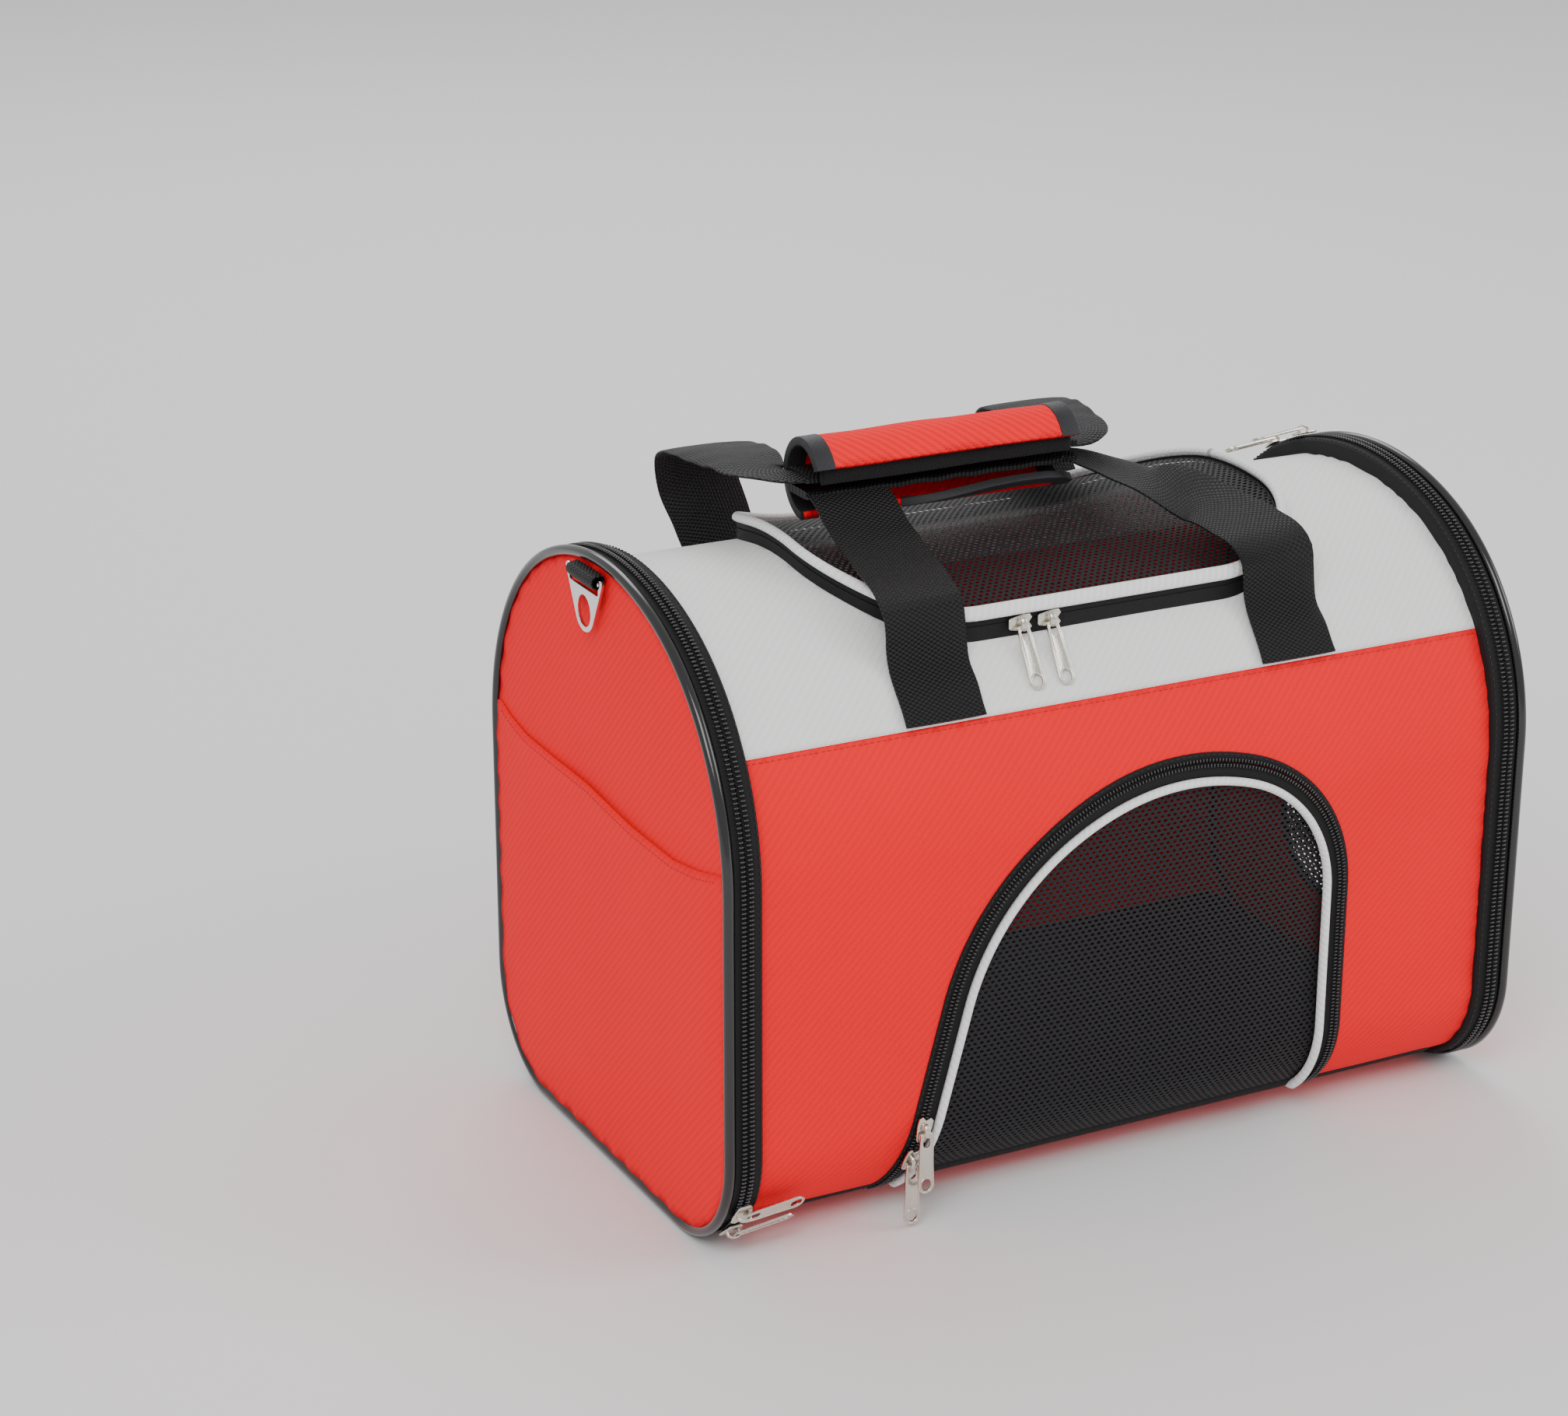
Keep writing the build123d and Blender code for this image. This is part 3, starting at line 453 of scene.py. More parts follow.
def unevenGroup():
    # slow patches of lighter and darker cloth, from handling and light wear, with painted highlight on raised
    # yarns and painted shade on the low ones
    tree, start, end = group("handledClothAndYarnHighlight", [
        ("Vector", "NodeSocketVector", None), ("Color", "NodeSocketColor", (0.5, 0.5, 0.5, 1)),
        ("Tint", "NodeSocketFloat", 0.5), ("Depth", "NodeSocketFloat", 0.2),
        ("Patch", "NodeSocketFloat", 0.06), ("Scale", "NodeSocketFloat", 22.0)],
        [("Color", "NodeSocketColor")])
    patches = tree.nodes.new("ShaderNodeTexNoise")
    patches.inputs["Detail"].default_value = 4
    tree.links.new(start.outputs["Vector"], patches.inputs["Vector"])
    tree.links.new(start.outputs["Scale"], patches.inputs["Scale"])
    shift = maths(tree, "SUBTRACT", patches.outputs["Fac"], 0.5)
    shift = maths(tree, "MULTIPLY", shift, start.outputs["Patch"])
    # painted highlight and shade: raised yarns lighter, low yarns darker, scaled by Depth
    yarn = maths(tree, "SUBTRACT", start.outputs["Tint"], 0.6)
    yarn = maths(tree, "MULTIPLY", yarn, start.outputs["Depth"])
    level = maths(tree, "ADD", maths(tree, "ADD", shift, yarn), 1.0)
    mix = tree.nodes.new("ShaderNodeVectorMath")
    mix.operation = "SCALE"
    tree.links.new(start.outputs["Color"], mix.inputs[0])
    tree.links.new(level, mix.inputs["Scale"])
    tree.links.new(mix.outputs[0], end.inputs["Color"])
    return tree


def ovalHoleGroup():
    # staggered rows of oval holes in a knitted mesh: 0 in a hole, 1 on the yarn
    tree, start, end = group("ovalHoles", [
        ("Vector", "NodeSocketVector", None), ("PitchU", "NodeSocketFloat", 0.0034),
        ("PitchV", "NodeSocketFloat", 0.0022), ("Size", "NodeSocketFloat", 0.27)],
        [("Yarn", "NodeSocketFloat"), ("Height", "NodeSocketFloat")])
    split = tree.nodes.new("ShaderNodeSeparateXYZ")
    tree.links.new(start.outputs["Vector"], split.inputs[0])
    v = maths(tree, "DIVIDE", split.outputs[1], start.outputs["PitchV"])
    odd = maths(tree, "PINGPONG", maths(tree, "FLOOR", v), 1.0)
    u = maths(tree, "ADD", maths(tree, "DIVIDE", split.outputs[0], start.outputs["PitchU"]),
              maths(tree, "MULTIPLY", odd, 0.5))
    du = maths(tree, "SUBTRACT", maths(tree, "FRACT", u), 0.5)
    dv = maths(tree, "SUBTRACT", maths(tree, "FRACT", v), 0.5)
    far = maths(tree, "SQRT", maths(tree, "ADD", maths(tree, "MULTIPLY", du, du),
                                    maths(tree, "MULTIPLY", dv, dv)))
    near = maths(tree, "SUBTRACT", far, start.outputs["Size"])
    yarn = maths(tree, "MULTIPLY_ADD", near, 14.0, 0.5, clamp=True)
    height = maths(tree, "MULTIPLY", maths(tree, "ADD", near, 0.2), 3.0, clamp=True)
    tree.links.new(yarn, end.inputs["Yarn"])
    tree.links.new(height, end.inputs["Height"])
    return tree


yarnTree = weaveGroup()
clothTree = unevenGroup()
holeTree = ovalHoleGroup()


def material(name, rough=0.6, metal=0.0, sheen=0.0, coat=0.0, specular=0.5):
    mat = bpy.data.materials.new(name)
    mat.use_nodes = True
    shader = mat.node_tree.nodes["Principled BSDF"]
    shader.inputs["Roughness"].default_value = rough
    shader.inputs["Metallic"].default_value = metal
    shader.inputs["Sheen Weight"].default_value = sheen
    shader.inputs["Coat Weight"].default_value = coat
    shader.inputs["Coat Roughness"].default_value = 0.08
    shader.inputs["Specular IOR Level"].default_value = specular
    return mat, mat.node_tree, shader


def bump(tree, shader, height, distance):
    node = tree.nodes.new("ShaderNodeBump")
    node.inputs["Distance"].default_value = distance
    node.inputs["Strength"].default_value = 1.0
    tree.links.new(height, node.inputs["Height"])
    tree.links.new(node.outputs[0], shader.inputs["Normal"])


def clothColour(tree, shader, colour, highlightMask, depth, patch):
    cloth = tree.nodes.new("ShaderNodeGroup")
    cloth.node_tree = clothTree
    cloth.inputs["Color"].default_value = (*colour, 1)
    # depth sets how strongly raised yarns get painted highlight and low yarns painted shade
    cloth.inputs["Depth"].default_value = depth
    cloth.inputs["Patch"].default_value = patch
    tree.links.new(mapOf(tree, False), cloth.inputs["Vector"])
    tree.links.new(highlightMask, cloth.inputs["Tint"])
    tree.links.new(cloth.outputs[0], shader.inputs["Base Color"])


def mapOf(tree, own):
    node = tree.nodes.new("ShaderNodeTexCoord")
    return node.outputs["UV" if own else "Object"]


def wovenMaterial(name, colour, pitch, diagonal=1.0, rough=0.7, depth=0.22, patch=0.07,
                  relief=0.00012, sheen=0.15, turn=0.0, specular=0.35):
    mat, tree, shader = material(name, rough, sheen=sheen, specular=specular)
    turned = tree.nodes.new("ShaderNodeMapping")
    turned.inputs["Rotation"].default_value = (0, 0, math.radians(turn))
    tree.links.new(mapOf(tree, True), turned.inputs["Vector"])
    yarns = tree.nodes.new("ShaderNodeGroup")
    yarns.node_tree = yarnTree
    yarns.inputs["Pitch"].default_value = pitch
    yarns.inputs["Diagonal"].default_value = diagonal
    tree.links.new(turned.outputs[0], yarns.inputs["Vector"])
    clothColour(tree, shader, colour, yarns.outputs["Tint"], depth, patch)
    bump(tree, shader, yarns.outputs["Height"], relief)
    return mat


def ribbedMaterial(name, colour, pitch, columns, rough=0.55, relief=0.00025, depth=2.4):
    # ribs across the length, broken into columns, as on woven webbing and zip tape
    mat, tree, shader = material(name, rough, specular=0.3)
    split = tree.nodes.new("ShaderNodeSeparateXYZ")
    tree.links.new(mapOf(tree, True), split.inputs[0])
    column = maths(tree, "DIVIDE", split.outputs[1], columns)
    shift = maths(tree, "MULTIPLY", maths(tree, "PINGPONG", maths(tree, "FLOOR", column), 1.0), 0.5)
    rib = maths(tree, "ADD", maths(tree, "DIVIDE", split.outputs[0], pitch), shift)
    ribs = maths(tree, "ABSOLUTE", maths(tree, "SINE", maths(tree, "MULTIPLY", rib, math.pi)))
    cols = maths(tree, "ABSOLUTE", maths(tree, "SINE", maths(tree, "MULTIPLY", column, math.pi)))
    height = maths(tree, "MULTIPLY", ribs, maths(tree, "MULTIPLY_ADD", cols, 0.6, 0.4))
    # rib tops painted lighter: a painted highlight standing for the bright dots of lit ribs
    clothColour(tree, shader, colour, height, depth, patch=0.25)
    bump(tree, shader, height, relief)
    return mat


def airMeshMaterial(name, colour):
    mat, tree, shader = material(name, 0.6, specular=0.3)
    holes = tree.nodes.new("ShaderNodeGroup")
    holes.node_tree = holeTree
    tree.links.new(mapOf(tree, True), holes.inputs["Vector"])
    yarns = tree.nodes.new("ShaderNodeTexNoise")
    yarns.inputs["Scale"].default_value = 900
    tree.links.new(mapOf(tree, True), yarns.inputs["Vector"])
    ramp = tree.nodes.new("ShaderNodeValToRGB")
    ramp.color_ramp.elements[0].color = (colour[0] * 0.5, colour[1] * 0.5, colour[2] * 0.5, 1)
    ramp.color_ramp.elements[1].color = (colour[0] * 1.8, colour[1] * 1.8, colour[2] * 1.8, 1)
    tree.links.new(yarns.outputs["Fac"], ramp.inputs["Fac"])
    tree.links.new(ramp.outputs[0], shader.inputs["Base Color"])
    tree.links.new(holes.outputs["Yarn"], shader.inputs["Alpha"])
    bump(tree, shader, holes.outputs["Height"], 0.0004)
    return mat


def smoothMaterial(name, colour, rough, metal=0.0, coat=0.0, spread=0.08, scale=300.0, relief=0.00003,
                   specular=0.5):
    # moulded or plated surface with fine unevenness in its gloss
    mat, tree, shader = material(name, rough, metal, coat=coat, specular=specular)
    grain = tree.nodes.new("ShaderNodeTexNoise")
    grain.inputs["Scale"].default_value = scale
    grain.inputs["Detail"].default_value = 3
    tree.links.new(mapOf(tree, False), grain.inputs["Vector"])
    level = maths(tree, "MULTIPLY_ADD", grain.outputs["Fac"], spread, max(0.02, rough - spread / 2))
    tree.links.new(level, shader.inputs["Roughness"])
    ramp = tree.nodes.new("ShaderNodeValToRGB")
    ramp.color_ramp.elements[0].color = (*[c * 0.88 for c in colour], 1)
    ramp.color_ramp.elements[1].color = (*[min(1, c * 1.08) for c in colour], 1)
    tree.links.new(grain.outputs["Fac"], ramp.inputs["Fac"])
    tree.links.new(ramp.outputs[0], shader.inputs["Base Color"])
    bump(tree, shader, grain.outputs["Fac"], relief)
    return mat


finish = {
    "red": (0.96, 0.004, 0.014), "white": (0.90, 0.90, 0.89),
    "black": (0.006, 0.006, 0.007), "tape": (0.008, 0.008, 0.009), "mesh": (0.008, 0.008, 0.010),
    "pipingWhite": (0.90, 0.90, 0.90), "darkGrey": (0.018, 0.018, 0.021)}
# each depth below sets the painted highlight on raised yarns and painted shade between them; webbing, tape
# and hook strip carry the most
redTwill = wovenMaterial("redTwill", finish["red"], 0.0011, 1.0, depth=0.14, sheen=0.0, specular=0.15)
gripTwill = wovenMaterial("gripTwill", finish["red"], 0.0012, 1.3, depth=0.3, relief=0.0002, sheen=0.0,
                          specular=0.15)
whiteCanvas = wovenMaterial("whiteCanvas", finish["white"], 0.0012, 0.7, rough=0.75, depth=0.12,
                            sheen=0.05)
darkBinding = wovenMaterial("darkBinding", finish["darkGrey"], 0.0007, 0.4, rough=0.42, depth=0.4,
                            sheen=0.05)
pipingCloth = wovenMaterial("pipingCloth", finish["pipingWhite"], 0.0011, 1.4, rough=0.6, depth=0.14,
                            relief=0.0002, turn=20)
hookCloth = wovenMaterial("hookCloth", finish["black"], 0.0010, 0.0, rough=0.95, depth=1.2, sheen=0.05,
                          relief=0.0006)
padCloth = wovenMaterial("padCloth", finish["tape"], 0.0016, 0.6, rough=0.8, depth=0.5, sheen=0.0)
webbingCloth = ribbedMaterial("webbingCloth", finish["black"], 0.0021, 0.0016, rough=0.5, relief=0.0007)
tapeCloth = ribbedMaterial("tapeCloth", finish["tape"], 0.0009, 0.0008, rough=0.7, relief=0.00015,
                           depth=1.6)
meshKnit = airMeshMaterial("meshKnit", finish["mesh"])
coilNylon = smoothMaterial("coilNylon", (0.02, 0.02, 0.022), 0.24, specular=0.8)
glossPiping = smoothMaterial("glossPiping", (0.006, 0.006, 0.007), 0.16, coat=0.4, scale=60, relief=0.00008)
threadRed = smoothMaterial("threadRed", (0.55, 0.008, 0.012), 0.6)
threadBlack = smoothMaterial("threadBlack", (0.02, 0.02, 0.02), 0.55)
nickel = smoothMaterial("nickel", (0.72, 0.68, 0.60), 0.26, metal=1.0, spread=0.2, scale=900, relief=0.00006)
ringChrome = smoothMaterial("ringChrome", (0.80, 0.80, 0.80), 0.08, metal=1.0, spread=0.06, scale=500)
springSteel = smoothMaterial("springSteel", (0.5, 0.5, 0.52), 0.3, metal=1.0)
boardGrey = smoothMaterial("boardGrey", (0.12, 0.12, 0.13), 0.6)
print("materials made")


# Repeated small pieces
def bead(name, size, segments=6, rings=4):
    work = bmesh.new()
    bmesh.ops.create_uvsphere(work, u_segments=segments, v_segments=rings, radius=0.5)
    for v in work.verts:
        v.co = Vector((v.co.x * size[0], v.co.y * size[1], v.co.z * size[2])) * mm
    mesh = bpy.data.meshes.new(name)
    work.to_mesh(mesh)
    work.free()
    mesh.polygons.foreach_set("use_smooth", [True] * len(mesh.polygons))
    return link(bpy.data.objects.new(name, mesh))


def beadTree():
    # sets one small shape at even steps along a line, turned to the line's stored directions
    tree = bpy.data.node_groups.new("beadsAlongLine", "GeometryNodeTree")
    face = tree.interface
    face.new_socket("Geometry", in_out="INPUT", socket_type="NodeSocketGeometry")
    face.new_socket("Bead", in_out="INPUT", socket_type="NodeSocketObject")
    face.new_socket("Pitch", in_out="INPUT", socket_type="NodeSocketFloat")
    face.new_socket("Finish", in_out="INPUT", socket_type="NodeSocketMaterial")
    face.new_socket("Geometry", in_out="OUTPUT", socket_type="NodeSocketGeometry")
    new, join = tree.nodes.new, tree.links.new
    start, end = new("NodeGroupInput"), new("NodeGroupOutput")
    toCurve, even = new("GeometryNodeMeshToCurve"), new("GeometryNodeResampleCurve")
    even.mode = "LENGTH"
    join(start.outputs["Geometry"], toCurve.inputs[0])
    join(toCurve.outputs[0], even.inputs["Curve"])
    join(start.outputs["Pitch"], even.inputs["Length"])
    info = new("GeometryNodeObjectInfo")
    join(start.outputs["Bead"], info.inputs["Object"])
    turn = new("FunctionNodeAxesToRotation")
    turn.primary_axis, turn.secondary_axis = "Z", "X"
    for label, socket in (("out", 0), ("along", 1)):
        read = new("GeometryNodeInputNamedAttribute")
        read.data_type = "FLOAT_VECTOR"
        read.inputs["Name"].default_value = label
        join(read.outputs[0], turn.inputs[socket])
    place = new("GeometryNodeInstanceOnPoints")
    join(even.outputs[0], place.inputs["Points"])
    join(info.outputs["Geometry"], place.inputs["Instance"])
    join(turn.outputs[0], place.inputs["Rotation"])
    real, paint = new("GeometryNodeRealizeInstances"), new("GeometryNodeSetMaterial")
    join(place.outputs[0], real.inputs[0])
    join(real.outputs[0], paint.inputs["Geometry"])
    join(start.outputs["Finish"], paint.inputs["Material"])
    join(paint.outputs[0], end.inputs[0])
    return tree


beadNodes = beadTree()


def beadsOnLines(name, lines, beadObject, pitch, mat):
    # lines: lists of (point, outward direction); one bead at each step of every line
    verts, edges, outs, alongs = [], [], [], []
    for line in lines:
        first = len(verts)
        for i, (point, out) in enumerate(line):
            ahead = line[min(i + 1, len(line) - 1)][0]
            behind = line[max(i - 1, 0)][0]
            verts.append(tuple(point * mm))
            outs += list(out)
            alongs += list((ahead - behind).normalized())
            if i:
                edges.append((first + i - 1, first + i))
    mesh = bpy.data.meshes.new(name)
    mesh.from_pydata(verts, edges, [])
    for label, data in (("out", outs), ("along", alongs)):
        mesh.attributes.new(label, "FLOAT_VECTOR", "POINT").data.foreach_set("vector", data)
    obj = link(bpy.data.objects.new(name, mesh))
    mod = obj.modifiers.new("beads", "NODES")
    mod.node_group = beadNodes
    for item in beadNodes.interface.items_tree:
        if item.in_out == "INPUT" and item.name == "Bead":
            mod[item.identifier] = beadObject
        if item.in_out == "INPUT" and item.name == "Pitch":
            mod[item.identifier] = pitch * mm
        if item.in_out == "INPUT" and item.name == "Finish":
            mod[item.identifier] = mat
    bake(obj)
    for label in ("out", "along"):
        if label in obj.data.attributes:
            obj.data.attributes.remove(obj.data.attributes[label])
    return obj


def beadRow(name, lines, shape, pitch, mat, body, slotName, *nodes):
    put(beadsOnLines(name, lines, shape, pitch, mat), body, slotName, *nodes)


def surfaceLine(path, offset, rise, place, skip=0.0):
    # a line on a surface with the outward direction at each point
    line = []
    for a, b, na, nb, along in path:
        if along < skip:
            continue
        low = place(a + na * offset, b + nb * offset, rise)
        high = place(a + na * offset, b + nb * offset, rise + 1.0)
        line.append((low, (high - low).normalized()))
    return line


def merged(name, parts):
    # several meshes made one piece
    bpy.ops.object.select_all(action="DESELECT")
    for part in parts:
        part.select_set(True)
    bpy.context.view_layer.objects.active = parts[0]
    bpy.ops.object.join()
    parts[0].name = name
    return parts[0]


toothLarge = bead("toothLarge", (1.15, 3.3, 1.7))
toothSmall = bead("toothSmall", (0.95, 2.3, 1.5))
stitchBead = bead("stitchBead", (2.3, 0.5, 0.45))
helpers = [toothLarge, toothSmall, stitchBead]

# Tunnel cloth
wallCloth = {"step": 4.0, "thick": 4.6, "pucker": 0.7, "puckerReach": 9.0, "puckerPitch": 15.0,
             "slack": 0.5}
frontDoor = {"apexX": 22.5, "top": 197.5, "radius": 125.0, "shoulder": 72.0, "right": 110.5,
             "lean": 15.1}
backWindow = {"top": 190.0, "radius": 125.0, "shoulder": 72.0, "right": 108.0, "low": 46.0,
              "corner": 30.0}
hatchRim = {"halfX": 124.0, "halfY": 81.0, "radius": 60.0}


def doorLine(low, offset=0.0):
    # the front door's edge in x and z, from the foot of the leaning leg to the upright one
    topZ = frontDoor["top"] - frontDoor["radius"]
    sideX = frontDoor["right"] - frontDoor["shoulder"]
    reach = frontDoor["radius"] - frontDoor["shoulder"]
    sideZ = topZ + math.sqrt(reach ** 2 - (sideX - frontDoor["apexX"]) ** 2)
    turn = math.degrees(math.atan2(sideZ - topZ, sideX - frontDoor["apexX"]))
    lean = math.radians(frontDoor["lean"])
    radius = frontDoor["radius"] + offset
    legX = frontDoor["apexX"] - radius * math.cos(lean)
    legZ = topZ + radius * math.sin(lean)
    line = [(legX - (legZ - low) * math.tan(lean), low)]
    line += arcPoints(frontDoor["apexX"], topZ, radius, 180 - frontDoor["lean"], turn)
    line += arcPoints(sideX, sideZ, frontDoor["shoulder"] + offset, turn, 0)[1:]
    return line + [(frontDoor["right"] + offset, low)]


def windowLine(offset=0.0):
    # the back window's closed outline in x and z
    topZ = backWindow["top"] - backWindow["radius"]
    right, low = backWindow["right"] + offset, backWindow["low"] - offset
    sideX = backWindow["right"] - backWindow["shoulder"]
    sideZ = topZ + math.sqrt((backWindow["radius"] - backWindow["shoulder"]) ** 2 - sideX ** 2)
    turn = math.degrees(math.atan2(sideZ - topZ, sideX))
    corner = backWindow["corner"] + offset
    line = arcPoints(corner - right, low + corner, corner, 270, 180)
    line += arcPoints(-sideX, sideZ, backWindow["shoulder"] + offset, 180, 180 - turn)
    line += arcPoints(0, topZ, backWindow["radius"] + offset, 180 - turn, turn)
    line += arcPoints(sideX, sideZ, backWindow["shoulder"] + offset, turn, 0)
    line += arcPoints(right - corner, low + corner, corner, 0, -90)
    return line


def roundedLoop(halfWidth, low, high, radius):
    loop = []
    for cx, cz, start in ((halfWidth - radius, high - radius, 0), (radius - halfWidth, high - radius, 90),
                          (radius - halfWidth, low + radius, 180), (halfWidth - radius, low + radius, 270)):
        loop += arcPoints(cx, cz, radius, start, start + 90)
    return loop


def hatchLine(offset=0.0):
    # the hatch's closed outline in x and y
    halfY = hatchRim["halfY"] + offset
    return roundedLoop(hatchRim["halfX"] + offset, -halfY, halfY, hatchRim["radius"] + offset)


def fine(loop, step=3.0):
    return [(p[0], p[1]) for p in walk(loop, step, True)]


def clothRise(x, s):
    # small puckers where the cloth is gathered into the rim, and slow slackness elsewhere
    edge = carrier["wallEnd"] - abs(x)
    near = math.exp(-max(0.0, edge) / wallCloth["puckerReach"])
    ripple = math.sin(2 * math.pi * s / wallCloth["puckerPitch"] + 2.2 * math.sin(s * 0.11 + x * 0.01))
    slow = noise.noise(Vector((x * 0.012, s * 0.016, 3.1)))
    return near * wallCloth["pucker"] * ripple + slow * wallCloth["slack"] * (1 - near)


sSeam = sAtHeight(carrier["bandTop"])
under = tunnel["z"] < cornerTop
sBase = float(np.interp(carrier["baseHalf"], -tunnel["y"][under][::-1], tunnel["s"][under][::-1]))


def onCloth(x, s):
    return onTunnel(x, s, clothRise(x, s))


tunnelMiddle = (0, 0, 120)


def bandOutline(s0, s1):
    end = carrier["wallEnd"]
    return fine([(-end, s0), (end, s0), (end, s1), (-end, s1)])


def makeTunnel():
    end, step, thick = carrier["wallEnd"], wallCloth["step"], wallCloth["thick"]
    doorHole = [(x, sAtHeight(z)) for x, z in doorLine(8.6, 0.15)]
    outline = [(-end, sSeam), (end, sSeam), (end, sBase)] + doorHole[::-1] + [(-end, sBase)]
    windowHole = [(x, -sAtHeight(z)) for x, z in windowLine()]
    hatchHole = [(x, sAtReach(y)) for x, y in hatchLine(-1.2)]
    under = 2 * tunnel["full"] - sBase

    def onBase(x, s):
        # past the middle of the base, the front half's points are turned over to the back
        behind = s > tunnel["full"]
        s = 2 * tunnel["full"] - s if behind else s
        point = onTunnel(x, s, 0.4 * clothRise(x, s))
        return Vector((x, -point.y, point.z)) if behind else point
    for name, loop, holes, place, mat, gap, slotName, node in (
            ("frontBand", fine(outline), [], onCloth, redTwill, step, "shell_red", "front_wall"),
            ("backBand", bandOutline(-sBase, -sSeam), [fine(windowHole)], onCloth, redTwill, step,
             "shell_red", "rear_wall"),
            ("roofCloth", bandOutline(-sSeam, sSeam), [fine(hatchHole)], onCloth, whiteCanvas, step,
             "roof_white", "roof_panel"),
            ("baseCloth", bandOutline(sBase, under), [], onBase, redTwill, 7.0, "shell_red",
             "base_panel")):
        clothPanel(name, loop, holes, place, mat, gap, tunnelMiddle, thick, "shell", slotName, node)
    print("tunnel cloth")


makeTunnel()


# End rims, zips and doors
rimZip = {"piping": 2.5, "bodyTape": 7.95, "doorTape": 5.65, "pitch": 2.1, "start": 81.6,
          "teethRise": -0.9, "buried": -20}


def rimStretch(yStart, step=4.0):
    # stations all the way round the rim, leaving out the flat stretch under it
    low = rim["z"] < cornerTop
    s1 = float(np.interp(-yStart, rim["y"][low], rim["s"][low]))
    marks = np.linspace(-s1, s1, int(2 * s1 / step))
    return marks, s1


def rimDepth(s):
    # how far the tunnel's cloth lies inside the rim's outline
    y, z = archPoint(rim, s)
    return float(np.hypot(tunnel["y"] + abs(y), tunnel["z"] - z).min())


def makeRims():
    marks, s1 = rimStretch(rimZip["start"])
    lines = []
    for side, hand in ((-1, "left"), (1, "right")):
        path = [(side * carrier["chainX"], s, -side, 0.0, s + s1) for s in marks]
        depths = {round(float(s + s1), 3): rimDepth(s) for s in marks}
        inner, outer = rimZip["bodyTape"] + 0.15, 0.15

        def onTape(x, s, rise):
            # the buried rise stands for the tunnel's own surface
            if rise <= rimZip["buried"]:
                return onRim(x, s, -depths[round(float(s + s1), 3)] - 0.6)
            return onRim(x, s, rise)
        profile = [(inner, rimZip["buried"]), (inner, -3.6), (inner - 0.5, -2.5), (inner - 1.6, -2.0),
                   (inner - 3, -1.9), (outer + 0.3, -2.0), (outer, -2.3), (outer, rimZip["buried"])]
        swept(hand + "RimTape", path, profile, onTape, tapeCloth, "shell", "tape_black",
              hand + "_body_tape", sharp=50)
        doorSide = [(-o, r) for o, r in roundedProfile(0.2, rimZip["doorTape"], -5.0, -2.0, 0.5)]
        door = hand + "_end_door"
        swept(hand + "DoorTape", path, doorSide, onRim, tapeCloth, door, "tape_black",
              hand + "_door_tape", sharp=50)

        full = [(side * (carrier["half"] - rimZip["piping"]), s, -side, 0.0, s + rim["full"])
                for s in np.linspace(-rim["full"], rim["full"], 260)[:-1]]
        ring = roundProfile(0, -rimZip["piping"], rimZip["piping"], count=18)
        swept(hand + "RimPiping", full, ring, onRim, glossPiping, door, "piping_black",
              hand + "_end_piping", closed=True, sharp=80)

        lines.append(surfaceLine(path, 1.75, rimZip["teethRise"], onRim))
        doorLineUp = surfaceLine(path, -1.85, rimZip["teethRise"], onRim, skip=0.9)
        beadRow(hand + "DoorTeeth", [doorLineUp], toothLarge, rimZip["pitch"], coilNylon, door,
                "coil_black", hand + "_door_coil")
        beadRow(hand + "TapeStitch", [surfaceLine(path, inner - 1.4, -1.85, onRim)], stitchBead, 3.4,
                threadBlack, "shell", "tape_black")
    beadRow("rimTeeth", lines, toothLarge, rimZip["pitch"], coilNylon, "shell", "coil_black",
            "end_body_coils")
    print("rims and end zips")


makeRims()

endCloth = {"inset": 4.4, "crown": 1.3, "face": 210.5, "thick": 4.4, "pocketLift": 1.3}
endMiddle = (0, 0, 150)
pocketMouth = [(121.5, 191.5), (104, 187.5), (85, 184.3), (50, 183.4), (14, 183.6), (-36, 180),
               (-76, 179), (-99, 182.5), (-121.5, 188)]


def endOutline(inset):
    loop = [archPoint(rim, s, -inset) for s in np.linspace(-rim["full"], rim["full"], 300)[:-1]]
    return [(float(y), float(z)) for y, z in loop]


def endDistance(y, z):
    # distance from the rim's outline, used to crown the panels
    return float(np.hypot(rim["y"] + abs(y), rim["z"] - z).min())


def onEnd(side, lift):
    def place(y, z):
        inside = min(1.0, endDistance(y, z) / 26.0)
        swell = endCloth["crown"] * inside * inside * (3 - 2 * inside)
        swell += 0.7 * inside * noise.noise(Vector((y * 0.014, z * 0.012, 5.0 * side)))
        puck = 0.35 * (1 - inside) * math.sin(math.atan2(z - 150, y) * 46)
        return Vector((side * (endCloth["face"] - 1.2 + swell + puck + lift), y, z))
    return place


